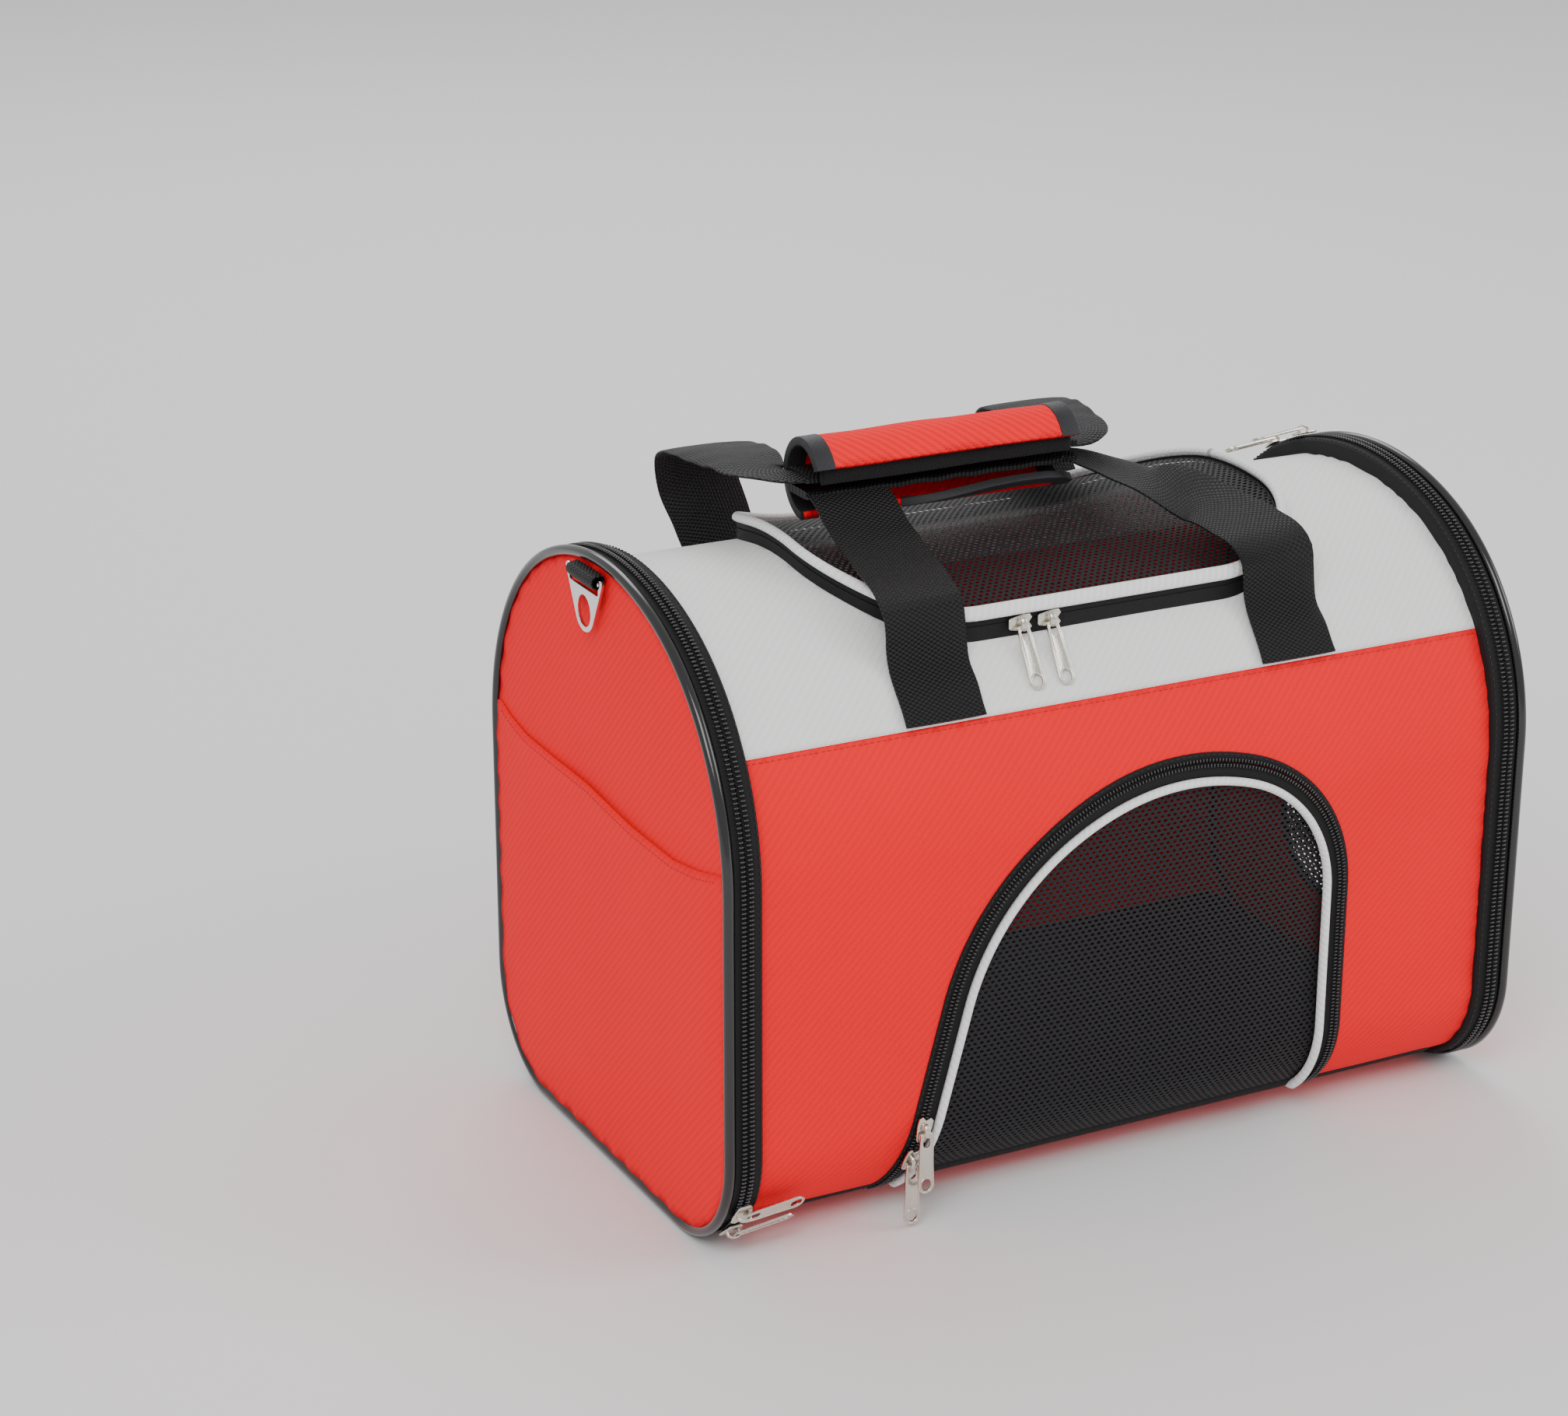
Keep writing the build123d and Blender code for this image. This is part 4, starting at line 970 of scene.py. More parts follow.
def makeLeftEnd():
    outline = endOutline(endCloth["inset"])
    clothPanel("leftPanel", fine(outline, 3.5), [], onEnd(-1, 0), redTwill, 5.0, endMiddle,
               endCloth["thick"], "left_end_door", "shell_red", "left_end_panel")

    mouthY = [p[0] for p in pocketMouth][::-1]
    mouthZ = [p[1] for p in pocketMouth][::-1]
    mouth = [(float(y), float(np.interp(y, mouthY, mouthZ))) for y in np.linspace(-120, 120, 60)]
    below = [p for p in endOutline(endCloth["inset"] - 0.5) if p[1] < 178]
    below.sort(key=lambda p: math.atan2(p[0], 189 - p[1]), reverse=True)
    closed = mouth + below

    def onPocket(y, z):
        gape = math.exp(-max(0.0, np.interp(y, mouthY, mouthZ) - z) / 26.0) * math.cos(
            min(1.0, abs(y) / 122) * math.pi / 2)
        return onEnd(-1, endCloth["pocketLift"] + 1.3 * gape)(y, z)
    pocket = clothPanel("leftPocket", fine(closed), [], onPocket, redTwill, 5.0, endMiddle, 1.1,
                        "left_end_door", "shell_red", "left_pocket")
    stretched(pocket, closed, "left_end_panel")

    hem = []
    for y in np.linspace(-114, 114, 90):
        z = float(np.interp(y, mouthY, mouthZ))
        point = onPocket(y, z - 3.4) + Vector((-0.15, 0, 0))
        hem.append((point, Vector((-1, 0, 0))))
    beadRow("pocketStitch", [hem], stitchBead, 3.0, threadRed, "left_end_door", "shell_red")
    print("left end")


makeLeftEnd()
window = {"halfWidth": 64.0, "low": 42.0, "high": 206.0, "radius": 40.0, "binding": 6.0}


def makeRightEnd():
    hole = roundedLoop(window["halfWidth"], window["low"], window["high"], window["radius"])
    clothPanel("rightPanel", fine(endOutline(endCloth["inset"]), 3.5), [fine(hole)], onEnd(1, 0),
               redTwill, 5.0, endMiddle, endCloth["thick"], "right_end_door", "shell_red",
               "right_end_panel")
    knitPanel("rightMesh", fine(hole, 4), onEnd(1, -1.6), 5.0, endMiddle, "right_end_door",
              "right_window_mesh", "right_end_panel", hole)

    def onEndRise(y, z, rise):
        return onEnd(1, rise)(y, z)
    path = walk(hole, 3.0, True)
    profile = roundedProfile(-window["binding"], window["binding"] * 0.4, -1.4, 0.9, 0.7)
    swept("rightBinding", path, profile, onEndRise, tapeCloth, "right_end_door", "tape_black",
          "right_window_binding", closed=True)
    print("right end")


makeRightEnd()

# Front door and back window
smallZip = {"tape": 0.8, "tapeOut": 4.4, "tapeIn": 6.4, "piping": 3.8, "pitch": 1.75}
doorCloth = {"bulge": 1.2}


def zipSide(hand, body, line, offsets, teethOffset, skip, coilNode, tapeNode):
    # one side of the front zip: its tape and its teeth
    swept(hand + "Tape", line, roundedProfile(*offsets, -0.5, smallZip["tape"], 0.35), onFront, tapeCloth,
          body, "tape_black", tapeNode)
    teeth = surfaceLine(line, teethOffset, smallZip["tape"] + 0.8, onFront, skip)
    beadRow(hand + "Teeth", [teeth], toothSmall, smallZip["pitch"], coilNylon, body, "coil_black",
            coilNode)


def makeFrontDoor():
    body = walk(doorLine(8.9), 3.0)
    zipSide("front", "shell", body, (0.15, smallZip["tapeOut"]), 1.25, 0.0, "front_body_coil",
            "front_body_tape")
    beadRow("frontTapeStitch", [surfaceLine(body, smallZip["tapeOut"] - 1.0, 0.85, onFront)],
            stitchBead, 3.2, threadBlack, "shell", "tape_black")
    zipSide("frontDoor", "front_door", walk(doorLine(9.2), 3.0), (-smallZip["tapeIn"], -0.15), -1.25,
            0.75, "front_door_coil", "front_door_tape")
    middle = -smallZip["tapeIn"] - smallZip["piping"] / 2
    ring = roundProfile(middle, 1.7, smallZip["piping"] / 2, 2.3, count=16)
    swept("frontPiping", walk(doorLine(12.5), 3.0), ring, onFront, pipingCloth, "front_door",
          "piping_white", "front_door_piping", sharp=80)

    edge = [(x, z) for x, z in doorLine(9.0, -0.6)]
    loop = fine([(x, sAtHeight(z)) for x, z in edge], 3.0)
    rimPts = np.array(loop)

    def onDoor(x, s):
        near = float(np.hypot(rimPts[:, 0] - x, rimPts[:, 1] - s).min())
        inside = min(1.0, near / 45.0)
        wave = 1.1 * noise.noise(Vector((x * 0.018, s * 0.018, 9.0)))
        return onTunnel(x, s, -1.2 + inside * (doorCloth["bulge"] + wave))
    knitPanel("frontMesh", loop, onDoor, 5.0, tunnelMiddle, "front_door", "front_door_mesh",
              "front_door_piping")
    print("front door")


def makeBackWindow():
    loop = windowLine()
    path = walk(loop, 3.0, True)
    ring = roundProfile(0, 1.6, smallZip["piping"] / 2, 2.3, count=16)
    swept("backPiping", path, ring, onBack, pipingCloth, "shell", "piping_white",
          "rear_window_piping", closed=True, sharp=80)
    hole = fine([(x, -sAtHeight(z)) for x, z in windowLine(0.5)], 4.0)
    knitPanel("backMesh", hole, lambda x, s: onTunnel(x, s, -1.0), 6.0, tunnelMiddle, "shell",
              "rear_window_mesh", "rear_window_piping")
    print("back window")


makeFrontDoor()
makeBackWindow()

# Roof hatch
hatchWall = {"flange": 5.0, "split": 5.0, "tapeTop": 8.0, "pipingTop": 12.4, "pipingWidth": 4.4,
             "sag": 5.5, "toothOut": 0.75, "toothGap": 1.45}


def makeHatch():
    path = walk(hatchLine(), 3.0, True)
    split = hatchWall["split"]
    profile = [(hatchWall["flange"], -0.4), (hatchWall["flange"], 0.5), (4.6, 0.8), (0.6, 0.9),
               (0.1, 1.4), (0.0, split - 0.3), (-0.2, split - 0.15), (-1.1, split - 0.15),
               (-1.2, split - 0.4), (-1.2, -0.6)]
    swept("hatchFlange", path, profile, onRoof, tapeCloth, "shell", "tape_black", "roof_body_tape",
          closed=True, sharp=50)

    def wallRow(rise):
        out = hatchWall["toothOut"]
        return [(onRoof(a + na * out, b + nb * out, rise), Vector((na, nb, 0)).normalized())
                for a, b, na, nb, _ in path + path[:1]]
    toothUp = bead("toothUpright", (0.95, 2.5, 1.5))
    helpers.append(toothUp)
    beadRow("hatchTeethLow", [wallRow(split - hatchWall["toothGap"])], toothUp, smallZip["pitch"],
            coilNylon, "shell", "coil_black", "roof_body_coil")
    beadRow("hatchTeethHigh", [wallRow(split + hatchWall["toothGap"])], toothUp,
            smallZip["pitch"] * 1.001, coilNylon, "roof_hatch", "coil_black", "roof_door_coil")
    profile = roundedProfile(-1.2, 0.0, split + 0.2, hatchWall["tapeTop"] + 0.6, 0.4)
    swept("hatchDoorTape", path, profile, onRoof, tapeCloth, "roof_hatch", "tape_black",
          "roof_door_tape", closed=True)
    middle = (hatchWall["tapeTop"] + hatchWall["pipingTop"]) / 2
    half = hatchWall["pipingWidth"] / 2
    swept("hatchPiping", path, roundProfile(1.0 - half, middle, half, 2.2, count=16), onRoof,
          pipingCloth, "roof_hatch", "piping_white", "roof_door_piping", closed=True, sharp=80)

    loop = fine(hatchLine(-1.4), 3.0)
    edge = np.array(loop)

    def onHatch(x, y):
        near = float(np.hypot(edge[:, 0] - x, edge[:, 1] - y).min())
        inside = min(1.0, near / 60.0)
        wave = 1.6 * noise.noise(Vector((x * 0.016, y * 0.018, 2.0))) * inside
        sag = hatchWall["sag"] * math.sin(inside * math.pi / 2)
        return onRoof(x, y, hatchWall["tapeTop"] - 0.6 - sag + wave)
    knitPanel("hatchMesh", loop, onHatch, 5.0, tunnelMiddle, "roof_hatch", "roof_door_mesh",
              "roof_door_piping", [(x, sAtReach(y)) for x, y in loop])
    print("roof hatch")


makeHatch()

# Seams
seamThread = {"pitch": 3.0, "below": 2.2}


def makeSeams():
    lines = []
    for hand in (1, -1):
        line = []
        for x in np.linspace(-197, 197, 130):
            s = hand * (sSeam + seamThread["below"])
            base, up = onCloth(x, s), onTunnel(x, s, 1.0) - onTunnel(x, s, 0.0)
            line.append((base + up * 0.1, up.normalized()))
        lines.append(line)
    beadRow("bandStitch", lines, stitchBead, seamThread["pitch"], threadRed, "shell", "shell_red")
    print("seams")


makeSeams()

# Webbing straps
strapCloth = {"thick": 1.9, "curl": 0.7, "step": 3.0, "left": -94.0, "right": 92.0, "wide": 40.0,
              "seamZ": 233.4, "frontRise": 80.1, "rearRise": 87.6, "bundle": 22.0}
gripCloth = {"left": -112.0, "right": 24.0, "y": -4.0, "z": 319.05, "halfY": 17.0, "halfZ": 19.0,
             "skin": 3.4, "flapLeft": -66.0, "mouthHigh": 8.0, "mouthLow": -11.5, "binding": 9.0,
             "hook": 8.0}


def smoothRows(rows, step):
    # a smooth run of stations through rows of place, width and direction
    rows = np.array(rows, float)
    gaps = np.sqrt(np.linalg.norm(np.diff(rows[:, :3], axis=0), axis=1))
    knots = np.concatenate([[0], np.cumsum(gaps)])
    slopes = np.gradient(rows, knots, axis=0)
    t = np.linspace(0, knots[-1], 600)
    i = np.clip(np.searchsorted(knots, t, side="right") - 1, 0, len(knots) - 2)
    w = (knots[i + 1] - knots[i])[:, None]
    u = (t - knots[i])[:, None] / w
    dense = ((2 * u ** 3 - 3 * u ** 2 + 1) * rows[i] + (u ** 3 - 2 * u ** 2 + u) * w * slopes[i]
             + (3 * u ** 2 - 2 * u ** 3) * rows[i + 1] + (u ** 3 - u ** 2) * w * slopes[i + 1])
    along = np.concatenate([[0], np.cumsum(np.linalg.norm(np.diff(dense[:, :3], axis=0), axis=1))])
    marks = np.linspace(0, along[-1], int(along[-1] / step) + 2)
    return np.stack([np.interp(marks, along, dense[:, k]) for k in range(rows.shape[1])], 1), marks


def ribbon(name, rows, mat, thick, curl=0.0, step=3.0, across=9, fold=0.0):
    # a flat strap along rows of x, y, z, width and the direction across it
    rows, marks = smoothRows(rows, step)
    ahead = np.gradient(rows[:, :3], axis=0)
    verts, uvs, faces = [], [], []
    spread = np.sin(np.linspace(-0.5, 0.5, across) * math.pi)
    for row, way, mark in zip(rows, ahead, marks):
        way = Vector(way).normalized()
        side = Vector(row[4:7])
        side = (side - way * side.dot(way)).normalized()
        up = way.cross(side)
        ripple = 0.25 * math.sin(mark * 0.31) + 0.3 * noise.noise(Vector((mark * 0.05, row[0] * 0.1, 1.0)))
        for face in (1, -1):
            for u in (spread if face > 0 else spread[::-1]):
                edge = 1 - 0.55 * abs(u) ** 6
                lift = face * thick / 2 * edge - curl * u * u + fold * u * u * u * math.sin(mark * 0.06)
                verts.append(Vector(row[:3]) + side * (u * row[3] / 2) + up * (lift + ripple * u))
                uvs.append((mark, u * row[3] / 2))
    ring = 2 * across
    for j in range(len(rows) - 1):
        for i in range(ring):
            n = (i + 1) % ring
            faces.append((j * ring + i, j * ring + n, (j + 1) * ring + n, (j + 1) * ring + i))
    last = (len(rows) - 1) * ring
    for i in range(across - 1):
        faces.append((i + 1, i, ring - 1 - i, ring - 2 - i))
        faces.append((last + i, last + i + 1, last + ring - 2 - i, last + ring - 1 - i))
    return outward(meshObject(name, verts, faces, mat, uvs, 50))


def makeStraps():
    s = strapCloth
    seamY = -onFront(0, s["seamZ"], 1.4).y
    wallY = hatchRim["halfY"] + 2.0
    footY = wallY + 7.5
    footZ = roofHeight(-footY, 1.4)
    midY = (seamY + footY) / 2
    topZ = roofHeight(-hatchRim["halfY"] - 1, 12.4)
    high = s["seamZ"] + s["frontRise"]
    flatX = (1, 0, 0)
    climb = [(seamY, s["seamZ"]), (midY, roofHeight(-midY, 1.4)), (footY, footZ + 0.4),
             (wallY + 4.6, footZ + 9), (wallY + 3.4, topZ - 3.6), (wallY + 1.2, topZ + 3.6)]
    left = [(s["left"], -y, z, s["wide"], *flatX) for y, z in climb]
    overY, innerY = hatchRim["halfY"] - 5, hatchRim["halfY"] - 31
    left += [(s["left"], y, z, s["wide"], *flatX) for y, z in
             ((-overY, topZ + 10.6), (-innerY, topZ + 20.6), (gripCloth["y"] - 28, high - 10.5),
              (gripCloth["y"] - 16, high - 3), (gripCloth["y"] - 8, high))]
    right = [(s["right"], -y, z, s["wide"], *flatX) for y, z in climb]
    reach = s["right"] - gripCloth["right"]
    end = gripCloth["right"]
    right += [(end + 0.96 * reach, -overY, topZ + 10.6, 40, *flatX),
              (end + 0.76 * reach, 5 - innerY, topZ + 20, 40, 1, 0.1, 0),
              (end + 0.47 * reach, gripCloth["y"] - 30, high - 11, 36, 1, 0.4, 0),
              (end + 0.2 * reach, gripCloth["y"] - 11, high - 4, 29, 0.8, 0.7, 0),
              (end + 1, gripCloth["y"] - 1, high, 22, 0.2, 1, 0)]
    bundleX = (gripCloth["left"] - 2, gripCloth["right"] + 2)
    bundle = [(x, gripCloth["y"], high, s["bundle"], 0, 1, 0) for x in np.linspace(*bundleX, 6)]
    parts = [ribbon("frontStrapLeft", left, webbingCloth, s["thick"], s["curl"]),
             ribbon("frontStrapRight", right, webbingCloth, s["thick"], s["curl"], fold=1.2),
             ribbon("frontStrapBundle", bundle, webbingCloth, 3.8)]
    strap = merged("frontStrap", parts)
    put(strap, "front_handle", "webbing_black", "front_strap")

    rise = [(1.0, 0.0), (1.0, 0.06), (1.013, 0.19), (1.03, 0.44), (1.013, 0.67), (0.94, 0.83),
            (0.796, 0.91), (0.579, 0.965), (0.325, 1.0), (0.127, 1.005), (0.009, 1.0), (0.0, 1.0)]
    widths = [40] * 8 + [36, 29, 22, 22]
    turns = [0] * 8 + [24, 58, 90, 90]
    leftShift = [0, 0, -2, -9, -17, -21, -24, -27, -30, -33, -24, -11]
    rightShift = [0, 0, -3, -13, -24, -32, -36, -42, -47, -50, -60, -73]
    high = s["seamZ"] + s["rearRise"]
    parts = []
    for x, shifts, hand, name in ((s["left"], leftShift, 1, "rearStrapLeft"),
                                  (s["right"], rightShift, -1, "rearStrapRight")):
        rows = []
        for (back, up), shift, width, turn in zip(rise, shifts, widths, turns):
            y = gripCloth["y"] + (seamY - gripCloth["y"]) * back
            rows.append((x + shift, y, s["seamZ"] + s["rearRise"] * up, width, math.cos(math.radians(turn)),
                         hand * math.sin(math.radians(turn)), 0))
        parts.append(ribbon(name, rows, webbingCloth, s["thick"], s["curl"], fold=1.0))
    bundle = [(x, gripCloth["y"], high, s["bundle"], 0, 1, 0) for x in np.linspace(*bundleX, 6)]
    parts.append(ribbon("rearStrapBundle", bundle, webbingCloth, 3.8))
    strap = merged("rearStrap", parts)
    put(strap, "rear_handle", "webbing_black", "rear_strap")
    print("straps")


makeStraps()

# Padded grip
gripTurns = np.radians(np.linspace(-70, 335, 900))
gripStart = math.asin(gripCloth["mouthHigh"] / gripCloth["halfZ"])
gripEnd = 2 * math.pi + math.asin(gripCloth["mouthLow"] / gripCloth["halfZ"])
gripLengths = np.concatenate([[0], np.cumsum(np.hypot(np.diff(gripCloth["halfY"] * np.cos(gripTurns)),
                                                      np.diff(gripCloth["halfZ"] * np.sin(gripTurns))))])
gripLengths -= np.interp(gripStart, gripTurns, gripLengths)


def onGrip(x, a, rise):
    turn = float(np.interp(a, gripLengths, gripTurns))
    hy, hz = gripCloth["halfY"], gripCloth["halfZ"]
    out = Vector((0, -math.cos(turn) / hy, math.sin(turn) / hz)).normalized()
    lump = 0.7 * noise.noise(Vector((x * 0.03, a * 0.05, 7.0)))
    flare = 1.0 * math.exp(-max(0.0, a) / 6.0) * (0.6 + 0.4 * math.sin(x * 0.07))
    place = Vector((x, gripCloth["y"] - hy * math.cos(turn), gripCloth["z"] + hz * math.sin(turn)))
    return place + out * (rise + lump + flare)


def makeGrip():
    g = gripCloth
    bottom = float(np.interp(1.5 * math.pi, gripTurns, gripLengths))
    end = float(np.interp(gripEnd, gripTurns, gripLengths))
    lip = [(g["right"], end - 5.5), (19, end - 2.5), (8, end - 0.6), (-6, end), (-20, end - 1.0),
           (-36, end - 4.0), (-50, end - 8.0), (g["flapLeft"] + 4, end - 13)]
    fineLip = [(p[0], p[1]) for p in walk(lip, 3.0)]
    outline = [(g["left"], 0.0), (g["right"], 0.0)] + fineLip
    outline += [(g["flapLeft"] - 4, bottom), (g["left"], bottom)]
    skin = clothSheet("gripSkin", fine(outline, 3.0), [], lambda x, a: onGrip(x, a, 0), gripTwill, 3.2)
    middle = (-44, g["y"], g["z"])
    facing(skin, middle)
    skin = thicken(skin, g["skin"])
    trims = []
    for x, way, last in ((g["left"], 1, bottom), (g["right"], -1, end - 5)):
        path = [(x, a, way, 0.0, a) for a in np.linspace(-0.4, last, int(last / 2.5))]
        profile = roundedProfile(-0.5, g["binding"], -g["skin"] - 0.3, 0.5, 0.5)
        trims.append(sweep("gripBinding", path, profile, onGrip, darkBinding, sharp=50))
    path = walk(lip[::-1], 3.0)
    profile = roundedProfile(-0.8, 4.2, -g["skin"] - 0.3, 0.45, 0.45)
    inward = -1 if sum(nb for a, b, na, nb, along in path) > 0 else 1
    path = [(a, b, na * inward, nb * inward, along) for a, b, na, nb, along in path]
    trims.append(sweep("gripLip", path, profile, onGrip, darkBinding, sharp=50))
    wrap = merged("gripWrap", [skin] + trims)
    put(wrap, "rear_handle", "grip_red", "grip_wrap")
    low, high = -g["hook"], 6
    strip = [(g["left"] + 3, low), (g["right"] - 3, low), (g["right"] - 3, high), (g["left"] + 3, high)]
    clothPanel("gripHook", fine(strip), [], lambda x, a: onGrip(x, a, -g["skin"] - 0.2), hookCloth,
               3.0, middle, 1.0, "rear_handle", "hook_black", "grip_fastener")
    seam = end - 9.0
    line = [(onGrip(x, seam, 0.15), (onGrip(x, seam, 1) - onGrip(x, seam, 0)).normalized())
            for x in np.linspace(-50, g["right"] - 10, 50)]
    beadRow("gripStitch", [line], stitchBead, 3.0, threadRed, "rear_handle", "grip_red")
    print("grip")


makeGrip()

# Metal plates, rings and tabs
ringPlate = {"y": 8.0, "z": 285.2, "x": 213.9, "half": 17.0, "ear": 2.0, "drop": 16.5, "boss": 9.8,
             "holeX": 7.0, "holeY": 7.3, "slotHalf": 15.5, "slotLow": -5.6, "bar": 1.3, "thick": 1.8,
             "bevel": 0.4}
tabCloth = {"wide": 28.0, "thick": 1.3}


def plateMesh(name, loops, thick, bevel, mat, turn):
    # a flat plate with bevelled edges, its outline first and then its holes
    curve = bpy.data.curves.new(name, "CURVE")
    curve.dimensions, curve.fill_mode = "2D", "BOTH"
    curve.extrude, curve.bevel_depth = (thick / 2 - bevel) * mm, bevel * mm
    curve.bevel_resolution, curve.offset = 2, -bevel * mm
    for loop in loops:
        spline = curve.splines.new("POLY")
        spline.points.add(len(loop) - 1)
        for point, (x, y) in zip(spline.points, loop):
            point.co = (x * mm, y * mm, 0, 1)
        spline.use_cyclic_u = True
    obj = link(bpy.data.objects.new(name, curve))
    bpy.context.view_layer.update()
    graph = bpy.context.evaluated_depsgraph_get()
    mesh = bpy.data.meshes.new_from_object(obj.evaluated_get(graph), depsgraph=graph)
    bpy.data.objects.remove(obj)
    mesh.transform(turn)
    mesh.materials.clear()
    mesh.materials.append(mat)
    mesh.polygons.foreach_set("use_smooth", [True] * len(mesh.polygons))
    mesh.set_sharp_from_angle(angle=math.radians(30))
    return outward(link(bpy.data.objects.new(name, mesh)))


def axesAt(origin, xWay, zWay):
    x, z = Vector(xWay).normalized(), Vector(zWay).normalized()
    y = z.cross(x)
    turn = Matrix((x, y, z)).transposed().to_4x4()
    return Matrix.Translation(Vector(origin) * mm) @ turn


def rod(name, start, end, radius, mat, count=14):
    start, end = Vector(start), Vector(end)
    way = (end - start).normalized()
    side = way.orthogonal().normalized()
    other = way.cross(side)
    verts, faces = [], []
    for at, size in ((start, 0.72), (start + way * 0.25, 1), (end - way * 0.25, 1), (end, 0.72)):
        for k in range(count):
            t = 2 * math.pi * k / count
            verts.append(at + (side * math.cos(t) + other * math.sin(t)) * radius * size)
    for j in range(3):
        for k in range(count):
            n = (k + 1) % count
            faces.append((j * count + k, j * count + n, (j + 1) * count + n, (j + 1) * count + k))
    faces.append(tuple(range(count)))
    faces.append(tuple(range(3 * count, 4 * count)))
    return outward(meshObject(name, verts, faces, mat, None, 40))


def ringOutline():
    # the hull of two ears and the boss, open at the top down to the slot
    r = ringPlate
    gap = math.hypot(r["half"], r["drop"])
    slope = math.atan2(r["drop"], r["half"])
    lean = math.degrees(math.asin((r["boss"] - r["ear"]) / gap))
    tip = -(90 - math.degrees(slope)) + lean
    half = arcPoints(0, -r["drop"], r["boss"], -90, tip, 0.7)
    half += arcPoints(r["half"], 0, r["ear"], tip, 90, 0.4)
    half += [(r["slotHalf"], r["ear"] - 0.3), (r["slotHalf"], r["slotLow"] + 1.2),
             (r["slotHalf"] - 0.4, r["slotLow"] + 0.4), (r["slotHalf"] - 1.2, r["slotLow"])]
    return half + [(-x, y) for x, y in half[::-1]][:-1]


def makeRings():
    r = ringPlate
    oval = [(r["holeX"] * math.cos(t), -r["drop"] + r["holeY"] * math.sin(t))
            for t in np.linspace(0, 2 * math.pi, 48, endpoint=False)]
    for side, hand in ((-1, "left"), (1, "right")):
        x = side * r["x"]
        turn = axesAt((x, r["y"], r["z"]), (0, 1, 0), (1, 0, 0))
        plate = plateMesh(hand + "RingPlate", [ringOutline(), oval], r["thick"], r["bevel"], ringChrome, turn)
        bar = rod(hand + "RingBar", (x, r["y"] - 16, r["z"]), (x, r["y"] + 16, r["z"]), r["bar"], ringChrome)
        put(merged(hand + "Ring", [plate, bar]), hand + "_d_ring", "ring_chrome", hand + "_ring")
        face = endCloth["face"] + 0.5
        loop = [(face, r["z"] + 2.6), (face + 0.1, r["z"] - 0.6), (face + 1.2, r["z"] - 2.5),
                (r["x"], r["z"] - 2.9), (r["x"] + 2.2, r["z"] - 1.9), (r["x"] + 2.9, r["z"] + 0.2),
                (r["x"] + 1.9, r["z"] + 2.2),
                (r["x"] - 0.4, r["z"] + 2.7), (face + 0.4, r["z"] + 3.0)]
        rows = [(side * px, r["y"], pz, tabCloth["wide"], 0, 1, 0) for px, pz in loop]
        tab = ribbon(hand + "Tab", rows, webbingCloth, tabCloth["thick"], 0.0, 0.8)
        put(tab, hand + "_end_door", "webbing_black", hand + "_ring_tab")
    print("rings")


makeRings()

# Zip sliders and pulls
sliderMetal = {"plate": 1.2, "lift": 0.3, "bevel": 0.35, "crownWide": 2.4, "crownShift": 1.5,
               "pinRise": 3.4}
pullMetal = {"end": 29.0, "half": 4.0, "neck": 3.0, "thick": 1.3, "plate": 0.75, "rim": 0.8,
             "bevel": 0.28, "window": 24.7, "windowX": 2.9, "windowY": 2.5}


def sliderSeats():
    # (name, origin, travel, normal, pull direction, tilt, half width)
    seats = []
    r = rimShape
    cornerY, cornerZ = r["cornerRadius"] - r["halfWidth"], r["bottom"] + r["cornerRadius"]
    shoulderY, topZ, shoulderZ = archCentres(r)
    spots = (("left_end_upper", -1, cornerY, cornerZ, r["cornerRadius"], 211.0),
             ("left_end_lower", -1, cornerY, cornerZ, r["cornerRadius"], 228.0),
             ("right_end_front", 1, 0, topZ, r["topRadius"], 69.8),
             ("right_end_rear", 1, shoulderY, shoulderZ, r["shoulderRadius"], 58.0))
    for name, side, cy, cz, radius, turn in spots:
        oy, oz = math.cos(math.radians(turn)), math.sin(math.radians(turn))
        seats.append((name, (side * carrier["chainX"], cy + radius * oy, cz + radius * oz), (0, -oz, oy),
                      (0, oy, oz), (-side, 0, 0), 5, 4.85))
    lean = math.radians(frontDoor["lean"])
    legX = frontDoor["apexX"] - frontDoor["radius"] * math.cos(lean)
    legZ = frontDoor["top"] - frontDoor["radius"] + frontDoor["radius"] * math.sin(lean)
    t = tunnelShape
    cornerY, cornerZ = t["cornerRadius"] - t["halfWidth"], t["bottom"] + t["cornerRadius"]
    radius = t["cornerRadius"] + 2.6
    for name, z, turned in (("front_upper", 49.0, 0), ("front_lower", 33.5, 1)):
        x = legX - (legZ - z) * math.tan(lean)
        drop = turned * (z - cornerZ) / radius
        level = math.sqrt(1 - drop ** 2)
        travel = (math.sin(lean), drop * math.cos(lean), level * math.cos(lean))
        seats.append((name, (x, cornerY - radius * level, z), travel, (0, -level, drop),
                      (0, -drop, -level), math.degrees(math.atan2(drop, level)), 3.8))
    y = -hatchRim["halfY"] - 2.0
    for name, x in (("roof_left", -44.0), ("roof_right", -29.0)):
        seats.append((name, (x, y, roofHeight(y, 5.0)), (1, 0, 0), (0, -1, 0), (0, 0, -1), -33.5, 3.8))
    return seats


def pullOutline(inset):
    p = pullMetal
    half, neck, end = p["half"] - inset, p["neck"] - inset, p["end"] - inset
    top = -0.8 + inset
    side = [(top + 0.5, neck - 0.1), (2.0, neck + 0.2), (6.0, neck + 0.55), (14.0, half - 0.45),
            (end - half - 1.0, half)]
    tail = arcPoints(end - half, 0, half, 90, -90, 0.6)
    return [(top, neck - 0.8)] + side + tail + [(x, -y) for x, y in side[::-1]] + [(top, 0.8 - neck)]


def oval(x, halfX, halfY, count):
    turns = np.linspace(0, 2 * math.pi, count, endpoint=False)
    return [(x + halfX * math.cos(t), halfY * math.sin(t)) for t in turns]


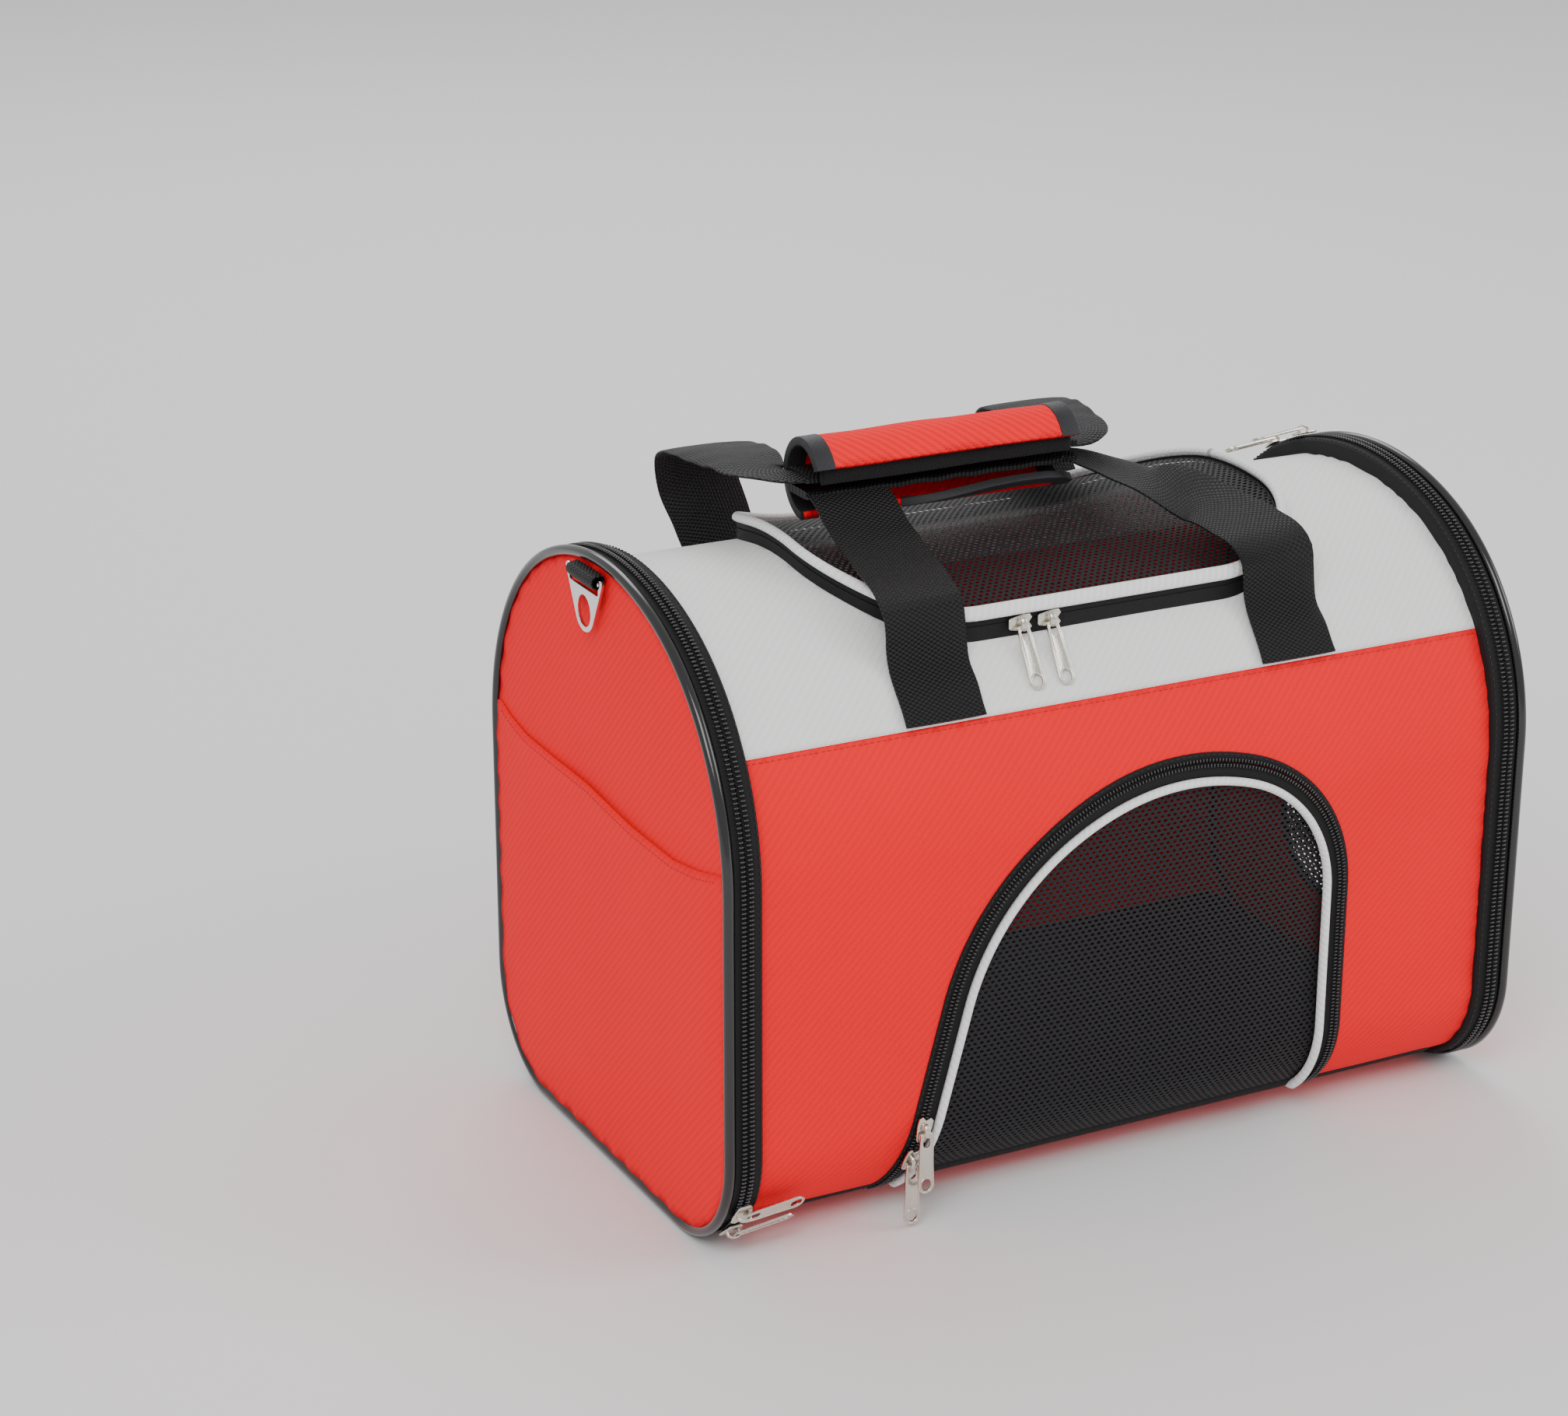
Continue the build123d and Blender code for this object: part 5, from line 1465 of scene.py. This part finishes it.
def makeSliders():
    s, p = sliderMetal, pullMetal
    throat = [(x + 3.5, y) for x, y in roundedLoop(2.8, -1.75, 1.75, 1.5)]
    window = oval(p["window"], p["windowX"], p["windowY"], 30)
    eyelet = oval(p["window"], p["windowX"] + 0.7, p["windowY"] + 0.7, 30)
    for name, origin, travel, normal, pullWay, tilt, half in sliderSeats():
        base, out, down = Vector(origin), Vector(normal), Vector(pullWay)
        plate = [(6, 0.55 * half), (4.8, half - 0.1), (1.5, half), (-2.5, 0.84 * half),
                 (-5.2, 0.7 * half), (-6, 0.5 * half)]
        plate += [(x, -y) for x, y in plate[::-1]]
        plate += [(5.0, -0.2 * half), (4.4, 0), (5.0, 0.2 * half)]
        turn = axesAt(base + out * (s["lift"] + s["plate"] / 2), travel, normal)
        parts = [plateMesh(name + "Plate", [plate], s["plate"], s["bevel"], nickel, turn)]
        cross = out.cross(down).normalized()
        arch = [(-3.0, 1.3), (-2.9, 3.2), (-1.4, 4.5), (0.9, 4.75), (2.5, 4.2), (2.9, 2.6), (2.8, 1.3)]
        rows = [(*(base + down * u + out * n), s["crownWide"], *cross) for u, n in arch]
        parts.append(ribbon(name + "Crown", rows, nickel, 0.85, 0.15, 0.7, 7))
        put(merged(name + "Slider", parts), name + "_zip", "nickel", name + "_slider")

        lean = math.radians(tilt)
        along = down * math.cos(lean) - out * math.sin(lean)
        pin = base + down * s["crownShift"] + out * s["pinRise"]
        turn = axesAt(pin, along, along.cross(cross))
        frameLoops = [pullOutline(0), pullOutline(p["rim"])]
        rimPart = plateMesh(name + "PullRim", frameLoops, p["thick"], p["bevel"], nickel, turn)
        face = plateMesh(name + "PullFace", [pullOutline(p["rim"] * 0.6), throat, window], p["plate"],
                         0.12, nickel, turn)
        eye = plateMesh(name + "PullEye", [eyelet, window], p["thick"] * 0.92, 0.2, nickel, turn)
        bar = rod(name + "PullPin", pin - cross * 3.0, pin + cross * 3.0, 0.65, nickel)
        put(merged(name + "Pull", [rimPart, face, eye, bar]), name + "_zip_pull", "nickel", name + "_pull")
    print("sliders")


makeSliders()

# Base and inside
padShape = {"halfX": 196.4, "halfY": 105.5, "low": 13.2, "high": 25.0, "corner": 14.0}


def makeBase():
    parts = []
    for side in (-1, 1):
        path = walk([(-73.3, 0), (73.3, 0)], 4.0)
        profile = roundedProfile(0.0, 13.7, 0.0, 4.6, 1.4)
        parts.append(sweep("hinge", path, profile,
                           lambda y, x, z, side=side: Vector((side * (193.0 + x), y, z)), tapeCloth,
                           sharp=50))
    put(merged("hingeStrips", parts), "shell", "tape_black", "hinge_bindings")

    p = padShape
    loop = roundedLoop(p["halfX"], -p["halfY"], p["halfY"], p["corner"])
    edge = np.array(fine(loop, 3.0))

    def onPad(x, y):
        near = float(np.hypot(edge[:, 0] - x, edge[:, 1] - y).min())
        swell = 1 - math.exp(-near / 7.0)
        soft = 0.5 * noise.noise(Vector((x * 0.02, y * 0.02, 4.0)))
        return Vector((x, y, p["low"] + 5.5 + (p["high"] - p["low"] - 6.0) * swell + soft * swell))
    top = clothSheet("floorPad", [tuple(q) for q in edge], [], onPad, padCloth, 7.0)
    facing(top, (0, 0, -200))
    work = bmesh.new()
    work.from_mesh(top.data)
    rimEdges = [e for e in work.edges if e.is_boundary]
    lower = bmesh.ops.extrude_edge_only(work, edges=rimEdges)["geom"]
    ring = [v for v in lower if isinstance(v, bmesh.types.BMVert)]
    for v in ring:
        v.co.z = p["low"] * mm
        v.co.x *= 0.985
        v.co.y *= 0.975
    bmesh.ops.contextual_create(work, geom=[e for e in work.edges if e.is_boundary])
    work.to_mesh(top.data)
    work.free()
    top = outward(top)
    put(top, "shell", "board_grey", "floor_pad")

    for node, mat in (("end_hoops", springSteel), ("base_board", boardGrey)):
        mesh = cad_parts[node].data
        mesh.materials.clear()
        mesh.materials.append(mat)
    print("base")


makeBase()

# Camera, floor and light
view = {"place": (-824.33, -1373.77, 771.34), "azimuth": -0.4898, "elevation": 0.3469, "roll": 0.0057,
        "lens": 82.03, "shiftX": -0.03296, "shiftY": -0.00459}


def makeCamera():
    a, e, roll = view["azimuth"], view["elevation"], view["roll"]
    back = Vector((math.sin(a) * math.cos(e), -math.cos(a) * math.cos(e), math.sin(e)))
    right = Vector((0, 0, 1)).cross(back).normalized()
    up = back.cross(right)
    c, s = math.cos(roll), math.sin(roll)
    x, y = right * c + up * s, up * c - right * s
    cam = bpy.data.cameras.new("camera")
    cam.lens, cam.sensor_width = view["lens"], 36
    cam.shift_x, cam.shift_y = view["shiftX"], view["shiftY"]
    cam.clip_end = 20
    obj = link(bpy.data.objects.new("camera", cam))
    turn = Matrix((x, y, back)).transposed().to_4x4()
    obj.matrix_world = Matrix.Translation(Vector(view["place"]) * mm) @ turn
    bpy.context.scene.camera = obj


def makeStudio():
    mesh = bpy.data.meshes.new("floor")
    mesh.from_pydata([(-6, -6, 0), (6, -6, 0), (6, 6, 0), (-6, 6, 0)], [], [(0, 1, 2, 3)])
    floor = link(bpy.data.objects.new("floor", mesh))
    mat, _, shader = material("paleFloor", 0.85)
    shader.inputs["Base Color"].default_value = (0.86, 0.86, 0.86, 1)
    mesh.materials.append(mat)
    floor.location.z = cadLow.z - 0.0004
    world = bpy.data.worlds.new("studio")
    world.use_nodes = True
    world.node_tree.nodes["Background"].inputs[0].default_value = (1, 1, 1, 1)
    world.node_tree.nodes["Background"].inputs[1].default_value = 0.75
    bpy.context.scene.world = world
    for name, place, size, power in (("keyLight", (-1.6, -1.8, 2.4), 1.6, 48),
                                     ("sideLight", (2.2, -1.4, 1.6), 1.4, 24),
                                     ("backLight", (0.6, 2.2, 2.2), 1.6, 26)):
        lamp = bpy.data.lights.new(name, "AREA")
        lamp.energy, lamp.size = power, size
        obj = link(bpy.data.objects.new(name, lamp))
        obj.location = place
        obj.rotation_euler = (Vector((0, 0, 0.14)) - Vector(place)).to_track_quat("-Z", "Y").to_euler()


makeCamera()
makeStudio()
for helper in helpers:
    bpy.data.objects.remove(helper)
print("scene ready")
